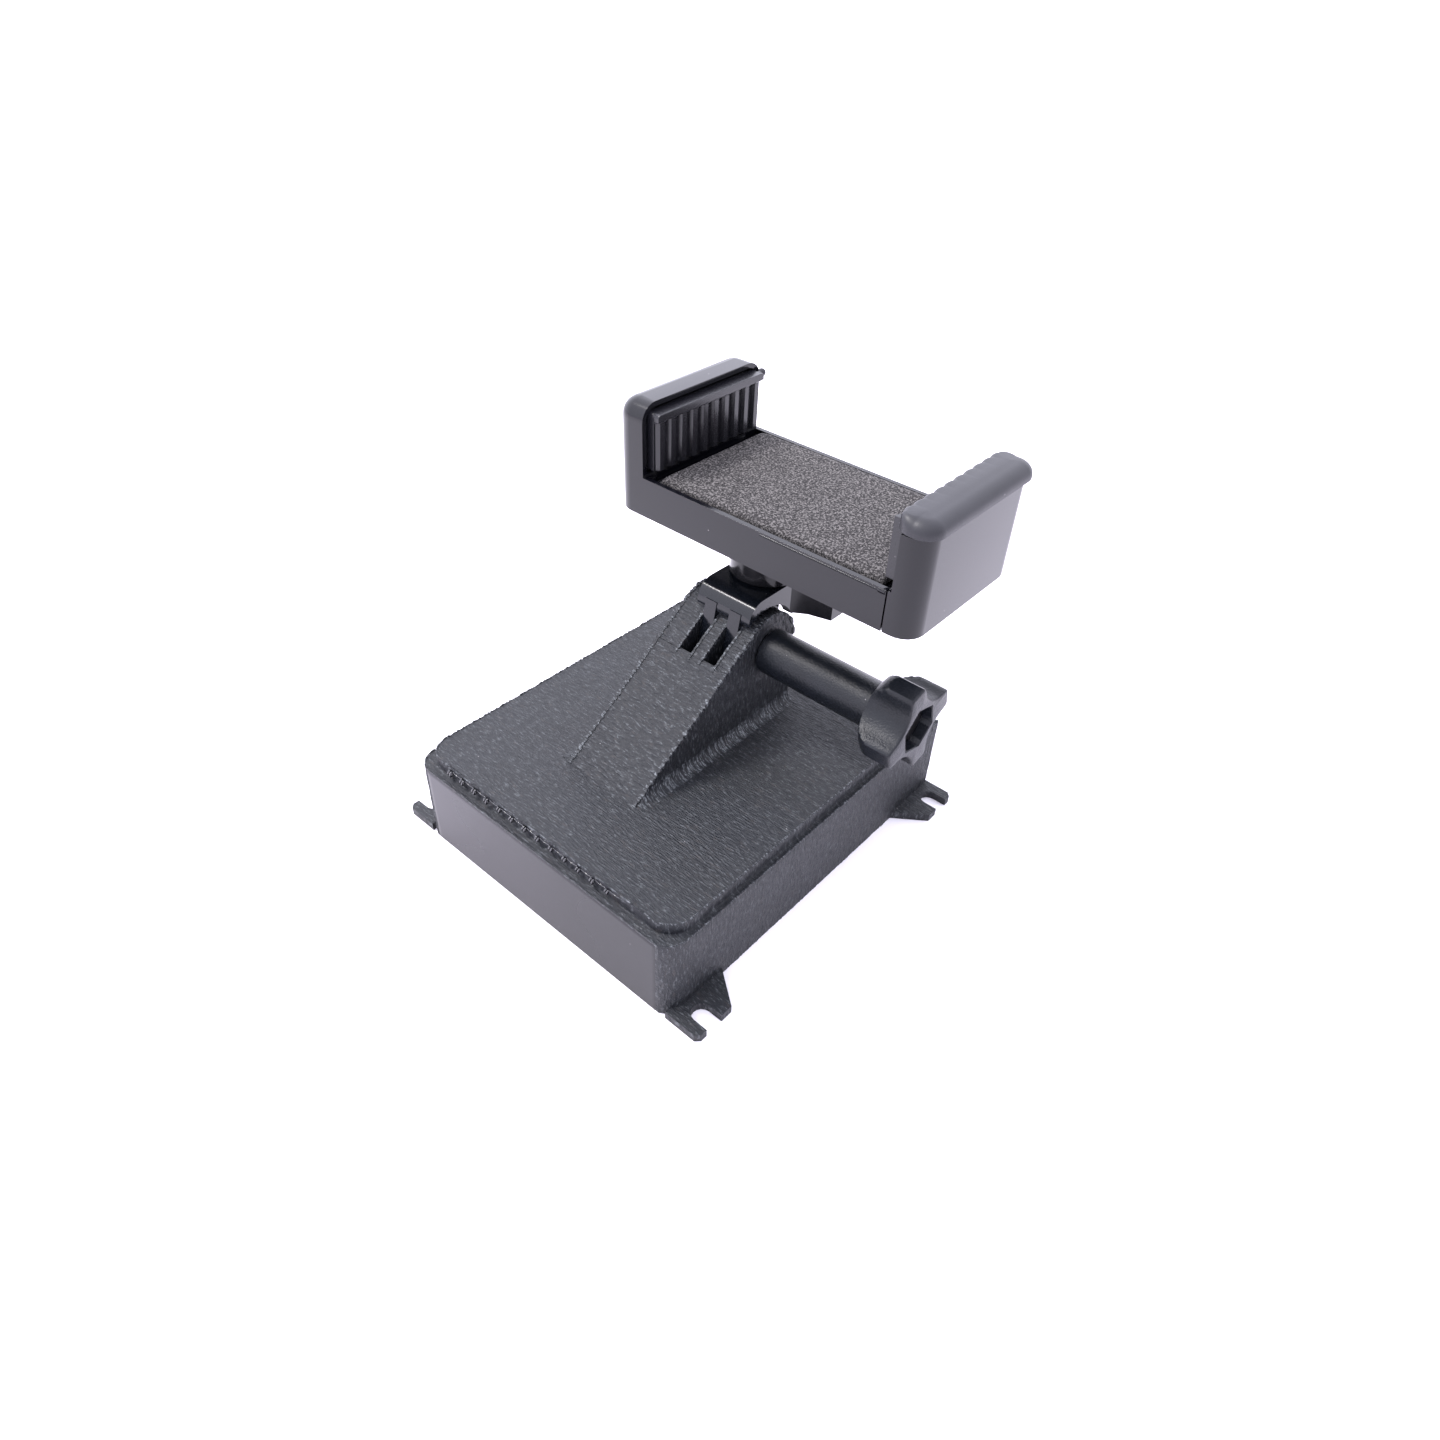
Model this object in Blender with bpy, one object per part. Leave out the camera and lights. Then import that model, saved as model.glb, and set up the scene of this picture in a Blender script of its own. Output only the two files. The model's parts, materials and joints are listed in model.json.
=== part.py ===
"""Pan tilt camera mount: a printed base with a three-finger tilt joint, a clamping thumbscrew, a two-finger
screw adapter and a spring-loaded device clamp that turns on the adapter's quarter-inch stud.

Sizes are in millimetres and become metres where a mesh is made. X runs along the tilt axis, Y from the front
to the back, Z up. The origin is the middle of the front wall's bottom rim, on the surface that the base
stands on.
"""
import bpy
import bmesh
from math import asin, atan2, cos, degrees, hypot, pi, radians, sin, sqrt

MM = 0.001

# ---- driving sizes -------------------------------------------------------------------------------------
GAP = 0.3                    # air between two pieces that touch
RUN = 0.2                    # air beside a finger or a rod that slides
ROUND_STEPS = 40             # sides of a full circle

# printed base
BASE_WIDTH = 70.0
BASE_DEPTH = 84.0
RIM_HEIGHT = 19.1
WALL = 2.2
ROOF = 2.3
CORNER_RADIUS = 5.0
CORNER_FLAT = 0.46           # how much the flat front face takes off the round corners
LID_STEP = 2.55              # height of the raised lid panel
LID_INSET = 1.25
LID_FRONT = 1.9
# screw-down ears
EAR_THICKNESS = 1.83
EAR_REACH = 6.8
EAR_TIP = 9.0                # width of an ear at its tip
EAR_ROOT = 14.1              # width of an ear where it meets the wall
EAR_SLOT_WIDTH = 4.0
EAR_SLOT_INSET = 4.35        # slot centre from the ear's straight edge
EAR_SLOT_DEPTH = 5.0
EAR_CHAMFER = 0.9
# tilt arm
ARM_LEFT = -10.4
ARM_RIGHT = 7.9
ARM_FRONT = 18.9
ARM_FILLET = 2.3
PIVOT_BACK = 57.3            # tilt axis from the front face
PIVOT_HEIGHT = 38.5
ARM_ROUND = 7.8              # radius of the arm's top round the tilt axis
FINGER_PITCH = 6.2
SLOT_WIDTH = 3.2
SLOT_RADIUS = 12.7
BOLT_RADIUS = 2.5
BOLT_CLEAR = 0.15
# thumbscrew
SLEEVE_RADIUS = 4.73
KNOB_START = 34.4
KNOB_END = 43.6
KNOB_RADIUS = 9.8
KNOB_WAIST = 6.3
KNOB_LOBES = 4
KNOB_TURN = 15.0             # degrees from +Y to the first lobe
HEX_ACROSS = 8.0             # bolt head and nut, across flats
HEX_CLEAR = 0.33
HEAD_THICKNESS = 3.5
RECESS_DEPTH = 6.0
# dome nut
NUT_THICKNESS = 4.0
NUT_SEAT = 3.4               # depth of the nut's pocket in the arm
NUT_DOME = 3.75
# screw adapter
HEAD_HALF_WIDTH = 6.75
HEAD_FRONT = 5.5             # front face ahead of the tilt axis
HEAD_TOP = 11.8              # plate top above the tilt axis
PLATE_THICKNESS = 5.7
PLATE_BACK = 20.9
BLOCK_BACK = 9.3
BLOCK_DROP = 4.1             # underside of the block above the tilt axis
HEAD_ROUND = 4.0
ARCH_RADIUS = 9.2
TONGUE_RADIUS = 7.2
STUD_BACK = 7.7              # pan axis behind the tilt axis
STUD_RADIUS = 3.17
FLANGE_LIP = 1.13
STUD_LENGTH = 8.6
WASHER_OUTER = 6.1
WASHER_THICKNESS = 0.5
# clamp
CLAMP_LEFT = -25.2
CLAMP_DEPTH = 33.4
CLAMP_FRONT = 9.3            # front face ahead of the tilt axis
CLAMP_BOTTOM = 23.5          # underside above the tilt axis
CHANNEL_HEIGHT = 8.0
JAW_HEIGHT = 22.0
JAW_INNER = -17.8
SEAM = 37.3                  # right end of the fixed channel
EDGE_RADIUS = 4.0
TOP_RADIUS = 3.5
HEEL_RADIUS = 2.2            # lower outer edge of the fixed jaw
RIM_WALL = 1.0
FLOOR = 1.8
PLATE_SEAT = 4.9             # bed plate's seat above the clamp's underside
BED_PLATE = 1.4
FOAM_THICKNESS = 1.8
BOSS_RADIUS = 7.55
BOSS_DROP = 11.1
FOOT_LEFT = 13.4
FOOT_RIGHT = 20.8
FOOT_FRONT = 6.4
INSERT_WALL = 1.23
INSERT_LENGTH = 8.4
# sliding jaw
SLIDER_THICKNESS = 5.7
SLIDER_HEIGHT = 18.6
SLIDER_STEP = 0.6
CAP_THICKNESS = 2.7
CAP_OVERHANG = 0.8
# ribbed pads
PAD_BACKING = 1.5
PAD_FACE = 1.9               # left pad's thickness without its ribs
PAD_SEAT = 1.0               # how deep the left pad sits in the jaw
LIP_OVERHANG = 0.5           # left pad's lip beyond its ribs
RIB_HEIGHT = 0.8
PAD_MARGIN = 1.7             # from a pad's end to the clamp's face
RIB_COUNT = 10
PAD_FOOT = 9.2               # pad's lower edge above the clamp's underside
LIP_HEIGHT = 1.4
# rods, springs and screws inside the clamp
ROD_RADIUS = 1.25
ROD_INSET = 9.2              # rod's axis from the clamp's front or back face
ROD_LEFT = -8.0
ROD_SEAT = 4.5
SPRING_SHARE = 0.347         # how far out the springs stand between the middle and the rods
SPRING_RADIUS = 1.05
SPRING_WIRE = 0.25
SPRING_TURNS = 16
SCREW_HEAD = 1.8
SCREW_SHANK = 0.9
POST_SIZE = 6.0

# ---- places worked out from them -----------------------------------------------------------------------
FRONT_Y = -WALL / 2
BACK_Y = FRONT_Y + BASE_DEPTH
PIVOT_Y = FRONT_Y + PIVOT_BACK
PIVOT_Z = PIVOT_HEIGHT
LID_Z = RIM_HEIGHT + LID_STEP
PAN_Y = PIVOT_Y + STUD_BACK
HEAD_TOP_Z = PIVOT_Z + HEAD_TOP
CLAMP_Y0 = PIVOT_Y - CLAMP_FRONT
CLAMP_Y1 = CLAMP_Y0 + CLAMP_DEPTH
CLAMP_Z = PIVOT_Z + CLAMP_BOTTOM
BED_Z = CLAMP_Z + CHANNEL_HEIGHT
JAW_Z = CLAMP_Z + JAW_HEIGHT
MID_Y = (CLAMP_Y0 + CLAMP_Y1) / 2
SEAT_Z = CLAMP_Z + PLATE_SEAT
ROD_Z = CLAMP_Z + (FLOOR + PLATE_SEAT) / 2
BOSS_Z = CLAMP_Z - BOSS_DROP
SLIDER_X0 = SEAM + GAP
SLIDER_X1 = SLIDER_X0 + SLIDER_THICKNESS
SLIDER_Z = CLAMP_Z + SLIDER_HEIGHT
GRIP_X = SLIDER_X0 + SLIDER_STEP
PAD_LENGTH = CLAMP_DEPTH - 2 * PAD_MARGIN
RIB_PITCH = PAD_LENGTH / RIB_COUNT
ROD_SPREAD = CLAMP_DEPTH / 2 - ROD_INSET
SPRING_SPREAD = ROD_SPREAD * SPRING_SHARE
INSERT_RADIUS = STUD_RADIUS + INSERT_WALL
STUD_FLANGE = STUD_RADIUS + FLANGE_LIP


# ---- outlines ------------------------------------------------------------------------------------------
def arc(cx, cy, radius, start, end, steps=8):
    """Points on a circle from start to end, in degrees."""
    angles = [radians(start + (end - start) * i / steps) for i in range(steps + 1)]
    return [(cx + radius * cos(a), cy + radius * sin(a)) for a in angles]


def rounded(x0, x1, y0, y1, radii, steps=6):
    """A rectangle with its own radius at each corner: low-low, high-low, high-high, low-high."""
    corners = [(x0, y0, 1, 1, 180), (x1, y0, -1, 1, 270), (x1, y1, -1, -1, 0), (x0, y1, 1, -1, 90)]
    points = []
    for (cx, cy, sx, sy, start), radius in zip(corners, radii):
        if radius:
            points += arc(cx + sx * radius, cy + sy * radius, radius, start, start + 90, steps)
        else:
            points.append((cx, cy))
    return points


def circle(cx, cy, radius, steps=ROUND_STEPS):
    return arc(cx, cy, radius, 0, 360, steps)[:-1]


def hexagon(cx, cy, across, turn=0.0):
    return arc(cx, cy, across / sqrt(3), turn, turn + 360, 6)[:-1]


# ---- solids --------------------------------------------------------------------------------------------
def point(axis, a, b, along):
    """A point of an outline (a, b) at a distance along the axis it is extruded on."""
    order = {"X": (along, a, b), "Y": (a, along, b), "Z": (a, b, along)}
    return tuple(v * MM for v in order[axis])


def solid(name, points, faces, smooth=True):
    """An object with outward faces, from points in metres."""
    mesh = bpy.data.meshes.new(name)
    mesh.from_pydata(points, [], faces)
    work = bmesh.new()
    work.from_mesh(mesh)
    bmesh.ops.recalc_face_normals(work, faces=work.faces)
    work.to_mesh(mesh)
    work.free()
    if smooth:
        mesh.shade_smooth()
        mesh.set_sharp_from_angle(angle=radians(35))
    piece = bpy.data.objects.new(name, mesh)
    bpy.context.scene.collection.objects.link(piece)
    return piece


def prism(name, outline, axis, low, high):
    """An outline extruded along an axis."""
    count = len(outline)
    points = [point(axis, a, b, low) for a, b in outline] + [point(axis, a, b, high) for a, b in outline]
    faces = [tuple(range(count)), tuple(range(count, 2 * count))]
    faces += [(i, (i + 1) % count, (i + 1) % count + count, i + count) for i in range(count)]
    return solid(name, points, faces)


def box(name, x, y, z):
    return prism(name, [(x[0], y[0]), (x[1], y[0]), (x[1], y[1]), (x[0], y[1])], "Z", z[0], z[1])


def turned(name, profile, axis, centre, steps=ROUND_STEPS):
    """A closed profile of (distance along, radius) points turned round an axis through centre."""
    points = []
    rings = []
    for along, radius in profile:
        if radius == 0:
            rings.append([len(points)] * steps)
            points.append(point(axis, centre[0], centre[1], along))
            continue
        rings.append(list(range(len(points), len(points) + steps)))
        points += [point(axis, a, b, along) for a, b in circle(centre[0], centre[1], radius, steps)]
    faces = []
    for i, ring in enumerate(rings):
        other = rings[(i + 1) % len(rings)]
        for k in range(steps):
            m = (k + 1) % steps
            corners = list(dict.fromkeys((ring[k], ring[m], other[m], other[k])))
            if len(corners) > 2:
                faces.append(tuple(corners))
    return solid(name, points, faces)


def combine(piece, tools, operation):
    """Boolean the tools with the piece, one after another, and keep the result as the piece's mesh."""
    for tool in tools:
        step = piece.modifiers.new("step", "BOOLEAN")
        step.operation = operation
        step.solver = "EXACT"
        step.object = tool
    graph = bpy.context.evaluated_depsgraph_get()
    made = bpy.data.meshes.new_from_object(piece.evaluated_get(graph))
    piece.modifiers.clear()
    old = piece.data
    piece.data = made
    made.name = piece.name
    bpy.data.meshes.remove(old)
    for tool in tools:
        bpy.data.objects.remove(tool)
    made.shade_smooth()
    made.set_sharp_from_angle(angle=radians(35))
    return piece


def cut(piece, *tools):
    return combine(piece, tools, "DIFFERENCE")


def join(piece, *tools):
    return combine(piece, tools, "UNION")


def common(piece, *tools):
    return combine(piece, tools, "INTERSECT")


def set_origin(piece, x, y, z):
    """Put a piece's origin on its joint's axis without moving its shape."""
    place = (x * MM, y * MM, z * MM)
    for vertex in piece.data.vertices:
        vertex.co = [c - p for c, p in zip(vertex.co, place)]
    piece.location = place


def material(name, colour, roughness, metallic=0.0):
    made = bpy.data.materials.new(name)
    made.use_nodes = True
    shader = made.node_tree.nodes["Principled BSDF"]
    shader.inputs["Base Color"].default_value = (*colour, 1.0)
    shader.inputs["Roughness"].default_value = roughness
    shader.inputs["Metallic"].default_value = metallic
    return made


# ---- the printed base ----------------------------------------------------------------------------------
def ear_outline(side, end):
    """One slotted ear seen from above; side is -1 or 1, end is 0 at the front and 1 at the back."""
    root = BASE_WIDTH / 2 - WALL / 2
    tip = BASE_WIDTH / 2 + EAR_REACH
    slot_low = EAR_SLOT_INSET - EAR_SLOT_WIDTH / 2
    slot_high = EAR_SLOT_INSET + EAR_SLOT_WIDTH / 2
    centre = tip - EAR_SLOT_DEPTH + EAR_SLOT_WIDTH / 2
    slant = (EAR_ROOT - EAR_TIP) / EAR_REACH
    shape = [(root, 0.0), (tip - EAR_CHAMFER, 0.0), (tip, EAR_CHAMFER), (tip, slot_low)]
    shape += arc(centre, EAR_SLOT_INSET, EAR_SLOT_WIDTH / 2, 270, 90, 8)
    shape += [(tip, slot_high), (tip, EAR_TIP), (root, EAR_TIP + (tip - root) * slant)]
    return [(side * x, FRONT_Y + y if end == 0 else BACK_Y - y) for x, y in shape]


def base_outline():
    """Footprint of the box: round front corners trimmed by the flat front face, square back corners."""
    half = BASE_WIDTH / 2
    centre_x = half - CORNER_RADIUS
    centre_y = FRONT_Y + CORNER_RADIUS - CORNER_FLAT
    trim = degrees(asin((CORNER_RADIUS - CORNER_FLAT) / CORNER_RADIUS))
    right = arc(centre_x, centre_y, CORNER_RADIUS, -trim, 0, 7)
    left = [(-x, y) for x, y in reversed(right)]
    return left + right + [(half, BACK_Y), (-half, BACK_Y)]


def arm_profile():
    """Side view of the tilt arm: a slope tangent to the round top, and an upright back."""
    run = PIVOT_Y - (FRONT_Y + ARM_FRONT)
    rise = PIVOT_Z - LID_Z
    slope = atan2(rise, run) + asin(ARM_ROUND / hypot(rise, run))
    sunk = LID_Z - LID_STEP
    start = FRONT_Y + ARM_FRONT - LID_STEP / sin(slope) * cos(slope)
    top = arc(PIVOT_Y, PIVOT_Z, ARM_ROUND, 90 + degrees(slope), 0, 14)
    return [(start, sunk)] + top + [(PIVOT_Y + ARM_ROUND, sunk)]


def arm_section():
    """Front view of the tilt arm, with hollow fillets where it leaves the lid."""
    left = arc(ARM_LEFT - ARM_FILLET, LID_Z + ARM_FILLET, ARM_FILLET, 0, -90, 5)
    right = arc(ARM_RIGHT + ARM_FILLET, LID_Z + ARM_FILLET, ARM_FILLET, 270, 180, 5)
    low = LID_Z - LID_STEP
    high = PIVOT_Z + 2 * ARM_ROUND
    return [(ARM_RIGHT, high), (ARM_LEFT, high)] + left + [(left[-1][0], low), (right[0][0], low)] + right


def make_base():
    half = BASE_WIDTH / 2
    base = prism("base_housing", base_outline(), "Z", 0, RIM_HEIGHT)
    lid_half = half - LID_INSET
    lid_back = BACK_Y - LID_INSET
    lid_corners = (CORNER_RADIUS, CORNER_RADIUS, 1.0, 1.0)
    lid = rounded(-lid_half, lid_half, FRONT_Y + LID_FRONT, lid_back, lid_corners, 6)
    parts = [prism("lid", lid, "Z", RIM_HEIGHT - ROOF / 2, LID_Z)]
    for side in (-1, 1):
        for end in (0, 1):
            parts.append(prism("ear", ear_outline(side, end), "Z", 0, EAR_THICKNESS))
    reach = half * 2
    arm = common(prism("arm", arm_profile(), "X", -reach, reach),
                 prism("section", arm_section(), "Y", FRONT_Y, BACK_Y))
    join(base, *parts, arm)
    inner = rounded(-half + WALL, half - WALL, FRONT_Y + WALL, BACK_Y - WALL, (3, 3, 1, 1), 4)
    hollow = prism("hollow", inner, "Z", -5, RIM_HEIGHT - ROOF + LID_STEP / 2)
    slots = []
    for centre in (-FINGER_PITCH / 2, FINGER_PITCH / 2):
        round_cut = circle(PIVOT_Y, PIVOT_Z, SLOT_RADIUS, 48)
        slots.append(prism("slot", round_cut, "X", centre - SLOT_WIDTH / 2, centre + SLOT_WIDTH / 2))
    bore = prism("bore", circle(PIVOT_Y, PIVOT_Z, BOLT_RADIUS + BOLT_CLEAR), "X", ARM_LEFT - 5, ARM_RIGHT + 5)
    pocket = hexagon(PIVOT_Y, PIVOT_Z, HEX_ACROSS + 2 * HEX_CLEAR, 30)
    seat = prism("seat", pocket, "X", ARM_LEFT - 5, ARM_LEFT + NUT_SEAT)
    return cut(base, hollow, *slots, bore, seat)


# ---- thumbscrew, bolt and nut --------------------------------------------------------------------------
def knob_radius(turn):
    """Lobed outline: the radius at an angle in degrees, measured from +Y."""
    middle = (KNOB_RADIUS + KNOB_WAIST) / 2
    swing = (KNOB_RADIUS - KNOB_WAIST) / 2
    return middle + swing * cos(radians(KNOB_LOBES * (turn - KNOB_TURN)))


def make_knob():
    steps = 72
    dome = KNOB_END - 5.2
    stations = [(KNOB_START + (dome - KNOB_START) * t, sqrt(1 - (1 - t) ** 2)) for t in
                (0.04, 0.15, 0.3, 0.5, 0.75, 1.0)]
    stations += [(KNOB_END - 0.6, 1.0), (KNOB_END, 0.93)]
    points = []
    start = ARM_RIGHT + GAP
    for along, share in [(start, 0.0), (KNOB_START, 0.0)] + stations:
        for k in range(steps):
            turn = 360 * k / steps
            radius = SLEEVE_RADIUS + (knob_radius(turn) - SLEEVE_RADIUS) * share
            points.append(point("X", PIVOT_Y + radius * cos(radians(turn)),
                                PIVOT_Z + radius * sin(radians(turn)), along))
    rows = len(stations) + 2
    faces = [tuple(range(steps)), tuple(range((rows - 1) * steps, rows * steps))]
    for row in range(rows - 1):
        for k in range(steps):
            m = (k + 1) % steps
            faces.append((row * steps + k, row * steps + m, (row + 1) * steps + m, (row + 1) * steps + k))
    knob = solid("thumb_knob", points, faces)
    bore = prism("bore", circle(PIVOT_Y, PIVOT_Z, BOLT_RADIUS + GAP), "X", start - 5, KNOB_END + 5)
    recess = hexagon(PIVOT_Y, PIVOT_Z, HEX_ACROSS + 2 * HEX_CLEAR, 45)
    cut(knob, bore, prism("recess", recess, "X", KNOB_END - RECESS_DEPTH, KNOB_END + 5))
    return knob


def make_bolt():
    head_start = KNOB_END - RECESS_DEPTH + GAP
    tip = ARM_LEFT - NUT_THICKNESS + NUT_SEAT - 1.4
    head = prism("tilt_bolt", hexagon(PIVOT_Y, PIVOT_Z, HEX_ACROSS, 45), "X", head_start,
                 head_start + HEAD_THICKNESS)
    profile = [(tip, 0), (tip, BOLT_RADIUS - 0.4), (tip + 0.4, BOLT_RADIUS), (head_start + 1, BOLT_RADIUS),
               (head_start + 1, 0)]
    return join(head, turned("shank", profile, "X", (PIVOT_Y, PIVOT_Z)))


def make_nut():
    inner = ARM_LEFT + NUT_SEAT - GAP
    outer = inner - NUT_THICKNESS
    nut = prism("dome_nut", hexagon(PIVOT_Y, PIVOT_Z, HEX_ACROSS, 30), "X", outer, inner)
    dome = [(outer + 0.5, 0), (outer + 0.5, NUT_DOME)]
    dome += [(outer - x, r) for x, r in arc(0.4, 0, NUT_DOME, 90, 0, 8)[:-1]]
    dome.append((outer - 0.4 - NUT_DOME, 0))
    join(nut, turned("dome", dome, "X", (PIVOT_Y, PIVOT_Z)))
    thread = [(outer - 1.9, 0), (outer - 1.9, BOLT_RADIUS + BOLT_CLEAR), (inner + 2, BOLT_RADIUS + BOLT_CLEAR),
              (inner + 2, 0)]
    return cut(nut, turned("thread", thread, "X", (PIVOT_Y, PIVOT_Z)))


# ---- screw adapter -------------------------------------------------------------------------------------
def adapter_profile():
    """Side view of the adapter's head: a plate with a rounded front over a block arched round the axis."""
    top = HEAD_TOP_Z
    front = PIVOT_Y - HEAD_FRONT
    back = PIVOT_Y + PLATE_BACK
    under = top - PLATE_THICKNESS
    drop = PIVOT_Z + BLOCK_DROP
    arch_back = degrees(asin(BLOCK_DROP / ARCH_RADIUS))
    arch_front = 180 - degrees(asin(sqrt(ARCH_RADIUS ** 2 - HEAD_FRONT ** 2) / ARCH_RADIUS))
    shape = [(PIVOT_Y + BLOCK_BACK, drop), (PIVOT_Y + BLOCK_BACK, under), (back, under)]
    shape += arc(back - 1.5, top - 1.5, 1.5, 0, 90, 4)
    shape += arc(front + HEAD_ROUND, top - HEAD_ROUND, HEAD_ROUND, 90, 180, 8)
    shape += arc(PIVOT_Y, PIVOT_Z, ARCH_RADIUS, arch_front, arch_back, 12)
    return shape


def make_adapter():
    adapter = prism("screw_adapter", adapter_profile(), "X", -HEAD_HALF_WIDTH, HEAD_HALF_WIDTH)
    web = [(PIVOT_Y - HEAD_FRONT + 0.05, PIVOT_Z + ARCH_RADIUS)]
    web += arc(PIVOT_Y, PIVOT_Z, TONGUE_RADIUS, 175, 365, 20)
    web += [(PIVOT_Y + TONGUE_RADIUS, PIVOT_Z + ARCH_RADIUS)]
    tongues = []
    thickness = SLOT_WIDTH - 2 * RUN
    for centre in (-FINGER_PITCH / 2, FINGER_PITCH / 2):
        tongues.append(prism("tongue", web, "X", centre - thickness / 2, centre + thickness / 2))
    join(adapter, *tongues)
    bore = prism("bore", circle(PIVOT_Y, PIVOT_Z, BOLT_RADIUS + BOLT_CLEAR), "X", -10, 10)
    flange_top = HEAD_TOP_Z - 2.2
    hole = prism("hole", circle(0, PAN_Y, STUD_RADIUS + GAP), "Z", flange_top - 5, HEAD_TOP_Z + 5)
    flange = prism("flange", circle(0, PAN_Y, STUD_FLANGE + GAP), "Z", PIVOT_Z, flange_top)
    dish = prism("dish", circle(0, PAN_Y, WASHER_OUTER + GAP), "Z", HEAD_TOP_Z - WASHER_THICKNESS, HEAD_TOP_Z + 5)
    cut(adapter, bore, hole, flange, dish)
    set_origin(adapter, 0, PIVOT_Y, PIVOT_Z)
    return adapter


def make_stud():
    top = HEAD_TOP_Z + STUD_LENGTH
    flange_top = HEAD_TOP_Z - 2.2 - GAP
    profile = [(flange_top - 1.2, 0), (flange_top - 1.2, STUD_FLANGE), (flange_top, STUD_FLANGE),
               (flange_top, STUD_RADIUS), (top - 0.7, STUD_RADIUS), (top, STUD_RADIUS - 0.7), (top, 0)]
    return turned("quarter_inch_stud", profile, "Z", (0, PAN_Y))


def make_washer():
    low = HEAD_TOP_Z - WASHER_THICKNESS + GAP
    inner = STUD_RADIUS + 2 * GAP
    profile = [(low, inner), (low, WASHER_OUTER), (low + WASHER_THICKNESS, WASHER_OUTER),
               (low + WASHER_THICKNESS, inner)]
    return turned("grip_washer", profile, "Z", (0, PAN_Y))


# ---- device clamp --------------------------------------------------------------------------------------
def mirrored_in_y(points):
    return [(x, 2 * PAN_Y - y) for x, y in reversed(points)]


def make_boss():
    """Round boss for the threaded insert, a rib to the right and a foot at its end."""
    boss = prism("boss", circle(0, PAN_Y, BOSS_RADIUS), "Z", BOSS_Z, CLAMP_Z + 1)
    rib = box("rib", (0, FOOT_RIGHT - 0.5), (PAN_Y - 5, PAN_Y + 5), (CLAMP_Z - 5.5, CLAMP_Z + 1))
    front = [(FOOT_LEFT, PAN_Y - FOOT_FRONT - 3.2), (FOOT_LEFT + 3, PAN_Y - FOOT_FRONT - 1.3),
             (FOOT_RIGHT, PAN_Y - FOOT_FRONT)]
    foot = prism("foot", front + mirrored_in_y(front), "Z", BOSS_Z, CLAMP_Z + 1)
    return [boss, rib, foot]


def screw_places():
    """Where the four bed screws stand."""
    left = JAW_INNER + POST_SIZE / 2
    right = SEAM - 2 - POST_SIZE / 2
    inset = RIM_WALL + 2.6
    return [(x, y) for x in (left, right) for y in (CLAMP_Y0 + inset, CLAMP_Y1 - inset)]


def cavity_outline():
    """Inside of the channel seen from above, with a solid corner under each bed screw."""
    x0 = JAW_INNER + 1.5
    x1 = SEAM - 2
    y0 = CLAMP_Y0 + 2.4
    y1 = CLAMP_Y1 - 2.4
    step_x = POST_SIZE
    step_y = 4.2
    return [(x0 + step_x, y0), (x1 - step_x, y0), (x1 - step_x, y0 + step_y), (x1, y0 + step_y),
            (x1, y1 - step_y), (x1 - step_x, y1 - step_y), (x1 - step_x, y1), (x0 + step_x, y1),
            (x0 + step_x, y1 - step_y), (x0, y1 - step_y), (x0, y0 + step_y), (x0 + step_x, y0 + step_y)]


def corner_cutters():
    """Tools that round the fixed jaw's two upper outer corners, each a block less a round-topped post."""
    centre_x = CLAMP_LEFT + EDGE_RADIUS
    inset = EDGE_RADIUS - TOP_RADIUS
    round_top = arc(JAW_Z - TOP_RADIUS, inset, TOP_RADIUS, 90, 0, 6)
    profile = [(JAW_Z - TOP_RADIUS - 1, 0), (JAW_Z - TOP_RADIUS - 1, EDGE_RADIUS)] + round_top + [(JAW_Z, 0)]
    made = []
    for centre_y, outer_y in ((CLAMP_Y0 + EDGE_RADIUS, CLAMP_Y0 - 1), (CLAMP_Y1 - EDGE_RADIUS, CLAMP_Y1 + 1)):
        block = box("corner", (CLAMP_LEFT - 1, centre_x), (min(centre_y, outer_y), max(centre_y, outer_y)),
                    (JAW_Z - TOP_RADIUS, JAW_Z + 1))
        made.append(cut(block, turned("post", profile, "Z", (centre_x, centre_y), 72)))
    return made


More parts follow.
